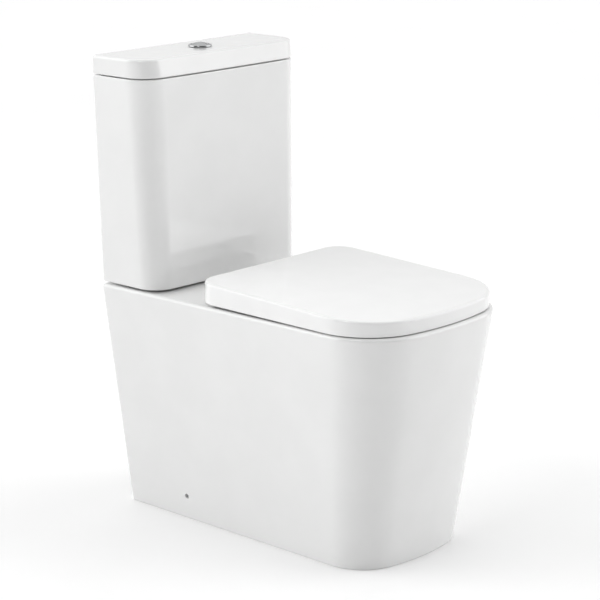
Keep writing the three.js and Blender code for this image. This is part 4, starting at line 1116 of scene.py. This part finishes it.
def make_floor_fixing():
    for side, sign in SIDES:
        node = f"floor_bracket_{side}"
        low, high = low_of(node), high_of(node)
        wall_x = low.x if sign < 0 else high.x
        centre = (low.y + high.y) / 2

        def bar(near, far, half, bottom, top, edge):
            ends = sorted((wall_x - sign * near, wall_x - sign * far))
            return block((ends[0], centre - half, bottom), (ends[1], centre + half, top), edge)

        foot = bar(0, high.x - low.x, BRACKET_HALF, 0, 4, 1)
        others = [bar(0, 5, BRACKET_HALF, 0, high.z, 1), bar(3, 26, 2, 2, 26, 0.8)]
        floor_hole = shifted(rod(4, -1, 6), (wall_x - sign * 22, centre - 10, 0))
        screw_hole = along_x(rod(2.75, -2, 8))
        screw_hole = shifted(screw_hole, (wall_x + (3 if sign < 0 else -5), centre, SIDE_HOLE_HEIGHT))
        finished(assembled(f"{node}_pressed", foot, others, [floor_hole, screw_hole]), node)
        node = f"bracket_screw_{side}"
        low, high = low_of(node).x, high_of(node).x
        length = high - low
        shank = [(0, 0), (SCREW_RADIUS / 2, 0.6), *thread(SCREW_RADIUS, 1.2, 19, 1.1, 0.5)]
        head = [(SCREW_RADIUS, length - 3), (4.1, length - 1), (4.1, length - 0.3), (3.6, length)]
        screw = along_x(turned([*shank, *head, (0, length)], 32))
        if sign < 0:
            screw = rotated(screw, "Z", math.pi)
        screw = shifted(screw, (low if sign > 0 else high, 0, 0))
        slot_end = high if sign > 0 else low
        cross = [
            block((slot_end - 1.1, -a, -b), (slot_end + 1.1, a, b)) for a, b in ((0.5, 2.4), (2.4, 0.5))
        ]
        middle = (0, WALL_Y - SIDE_HOLE_OUT, SIDE_HOLE_HEIGHT)
        screw = assembled(f"{node}_threaded", shifted(screw, middle), (), [shifted(c, middle) for c in cross])
        finished(screw, node)


make_pan()
make_tank()
make_cover()
make_coupling()
make_flush_valve()
make_fill_valve()
make_button()
make_seat_ring()
make_seat_lid()
make_hinges()
make_buffers_and_dampers()
make_floor_fixing()

# ---------- Floor, light and camera ----------
CAMERA_TARGET = Vector((0.5, 19.2, 399.2)) * MM
CAMERA_DISTANCE = 3.662
CAMERA_AZIMUTH = math.radians(-47.43)
CAMERA_ELEVATION = math.radians(14.52)
CAMERA_ROLL = math.radians(-0.32)
CAMERA_LENS = 126.6


def direction(azimuth, elevation):
    """Towards a place round the object. Azimuth 0 is in front and 90 is on its right."""
    flat = math.cos(elevation)
    return Vector((math.sin(azimuth) * flat, -math.cos(azimuth) * flat, math.sin(elevation)))


# The room's zones: the direction each faces, the cosines where it starts and is full, and what it adds.
ROOM_GLOW = 0.82
ROOM_ZONES = (
    (Vector((0, 0, 1)), 0.3, 0.95, 0.35),
    (direction(CAMERA_AZIMUTH, CAMERA_ELEVATION), 0.0, 0.8, -0.8),
)
FLOOR_GLOW = 0.11
FLOOR_REACH = 40 / MM
SUN_SPREAD = math.radians(60)
SOFTBOX_TARGET = Vector((-100, 230, 700)) * MM
SOFTBOX_DISTANCE = 1.5


def add_camera():
    data = bpy.data.cameras.new("camera")
    data.lens = CAMERA_LENS
    camera = bpy.data.objects.new("camera", data)
    bpy.context.scene.collection.objects.link(camera)
    back = direction(CAMERA_AZIMUTH, CAMERA_ELEVATION)
    right = Vector((math.cos(CAMERA_AZIMUTH), math.sin(CAMERA_AZIMUTH), 0))
    level = Matrix((right, back.cross(right), back)).transposed().to_4x4()
    camera.matrix_world = (
        Matrix.Translation(CAMERA_TARGET + back * CAMERA_DISTANCE)
        @ level
        @ Matrix.Rotation(CAMERA_ROLL, 4, "Z")
    )
    bpy.context.scene.camera = camera


def add_light(kind, name, towards, energy, **settings):
    data = bpy.data.lights.new(name, kind)
    data.energy = energy
    for key, value in settings.items():
        setattr(data, key, value)
    light = bpy.data.objects.new(name, data)
    bpy.context.scene.collection.objects.link(light)
    light.rotation_euler = towards.to_track_quat("Z", "Y").to_euler()
    return light


def add_floor():
    square = ((-1, -1), (1, -1), (1, 1), (-1, 1))
    corners = [Vector((x * FLOOR_REACH, y * FLOOR_REACH, -0.5)) for x, y in square]
    floor = make("studio_floor", Solid(corners, [(0, 1, 2, 3)]))
    look = new_material("studio_floor")
    paper = look.blend(look.spread(look.noise(400, 3), 0, 1), (0.9, 0.9, 0.9, 1), (0.88, 0.88, 0.88, 1))
    floor.data.materials.append(look.finish(
        Base_Color=paper, Roughness=0.9, Specular_IOR_Level=0.1, Emission_Color=(1, 1, 1, 1),
        Emission_Strength=FLOOR_GLOW,
    ))


def set_world():
    """An even white room, bright overhead and dark behind the camera, so the near corner is in shade."""
    look = Shader(bpy.data.worlds.new("studio"), "Background", "Generated")
    strength = ROOM_GLOW
    for towards, start, full, amount in ROOM_ZONES:
        angle = look.add("ShaderNodeVectorMath", {0: look.place, 1: towards}, operation="DOT_PRODUCT")
        zone = look.spread(angle.outputs["Value"], 0, amount, start, full)
        strength = look.add("ShaderNodeMath", {0: zone, 1: strength}, operation="ADD").outputs["Value"]
    bpy.context.scene.world = look.finish(Color=(1, 1, 1, 1), Strength=strength)


add_camera()
add_floor()
set_world()
left, right, beside = (
    direction(math.radians(azimuth), math.radians(elevation))
    for azimuth, elevation in ((-140, 20), (50, 20), (-62, 42))
)
add_light("SUN", "left_soft_light", left, 1.38, angle=SUN_SPREAD)
add_light("SUN", "right_soft_light", right, 1.1, angle=SUN_SPREAD)
softbox = add_light("AREA", "cistern_softbox", beside, 4, shape="SQUARE", size=0.45)
softbox.location = SOFTBOX_TARGET + beside * SOFTBOX_DISTANCE

scene = bpy.context.scene
scene.view_settings.view_transform = "Standard"
scene.view_settings.look = "None"
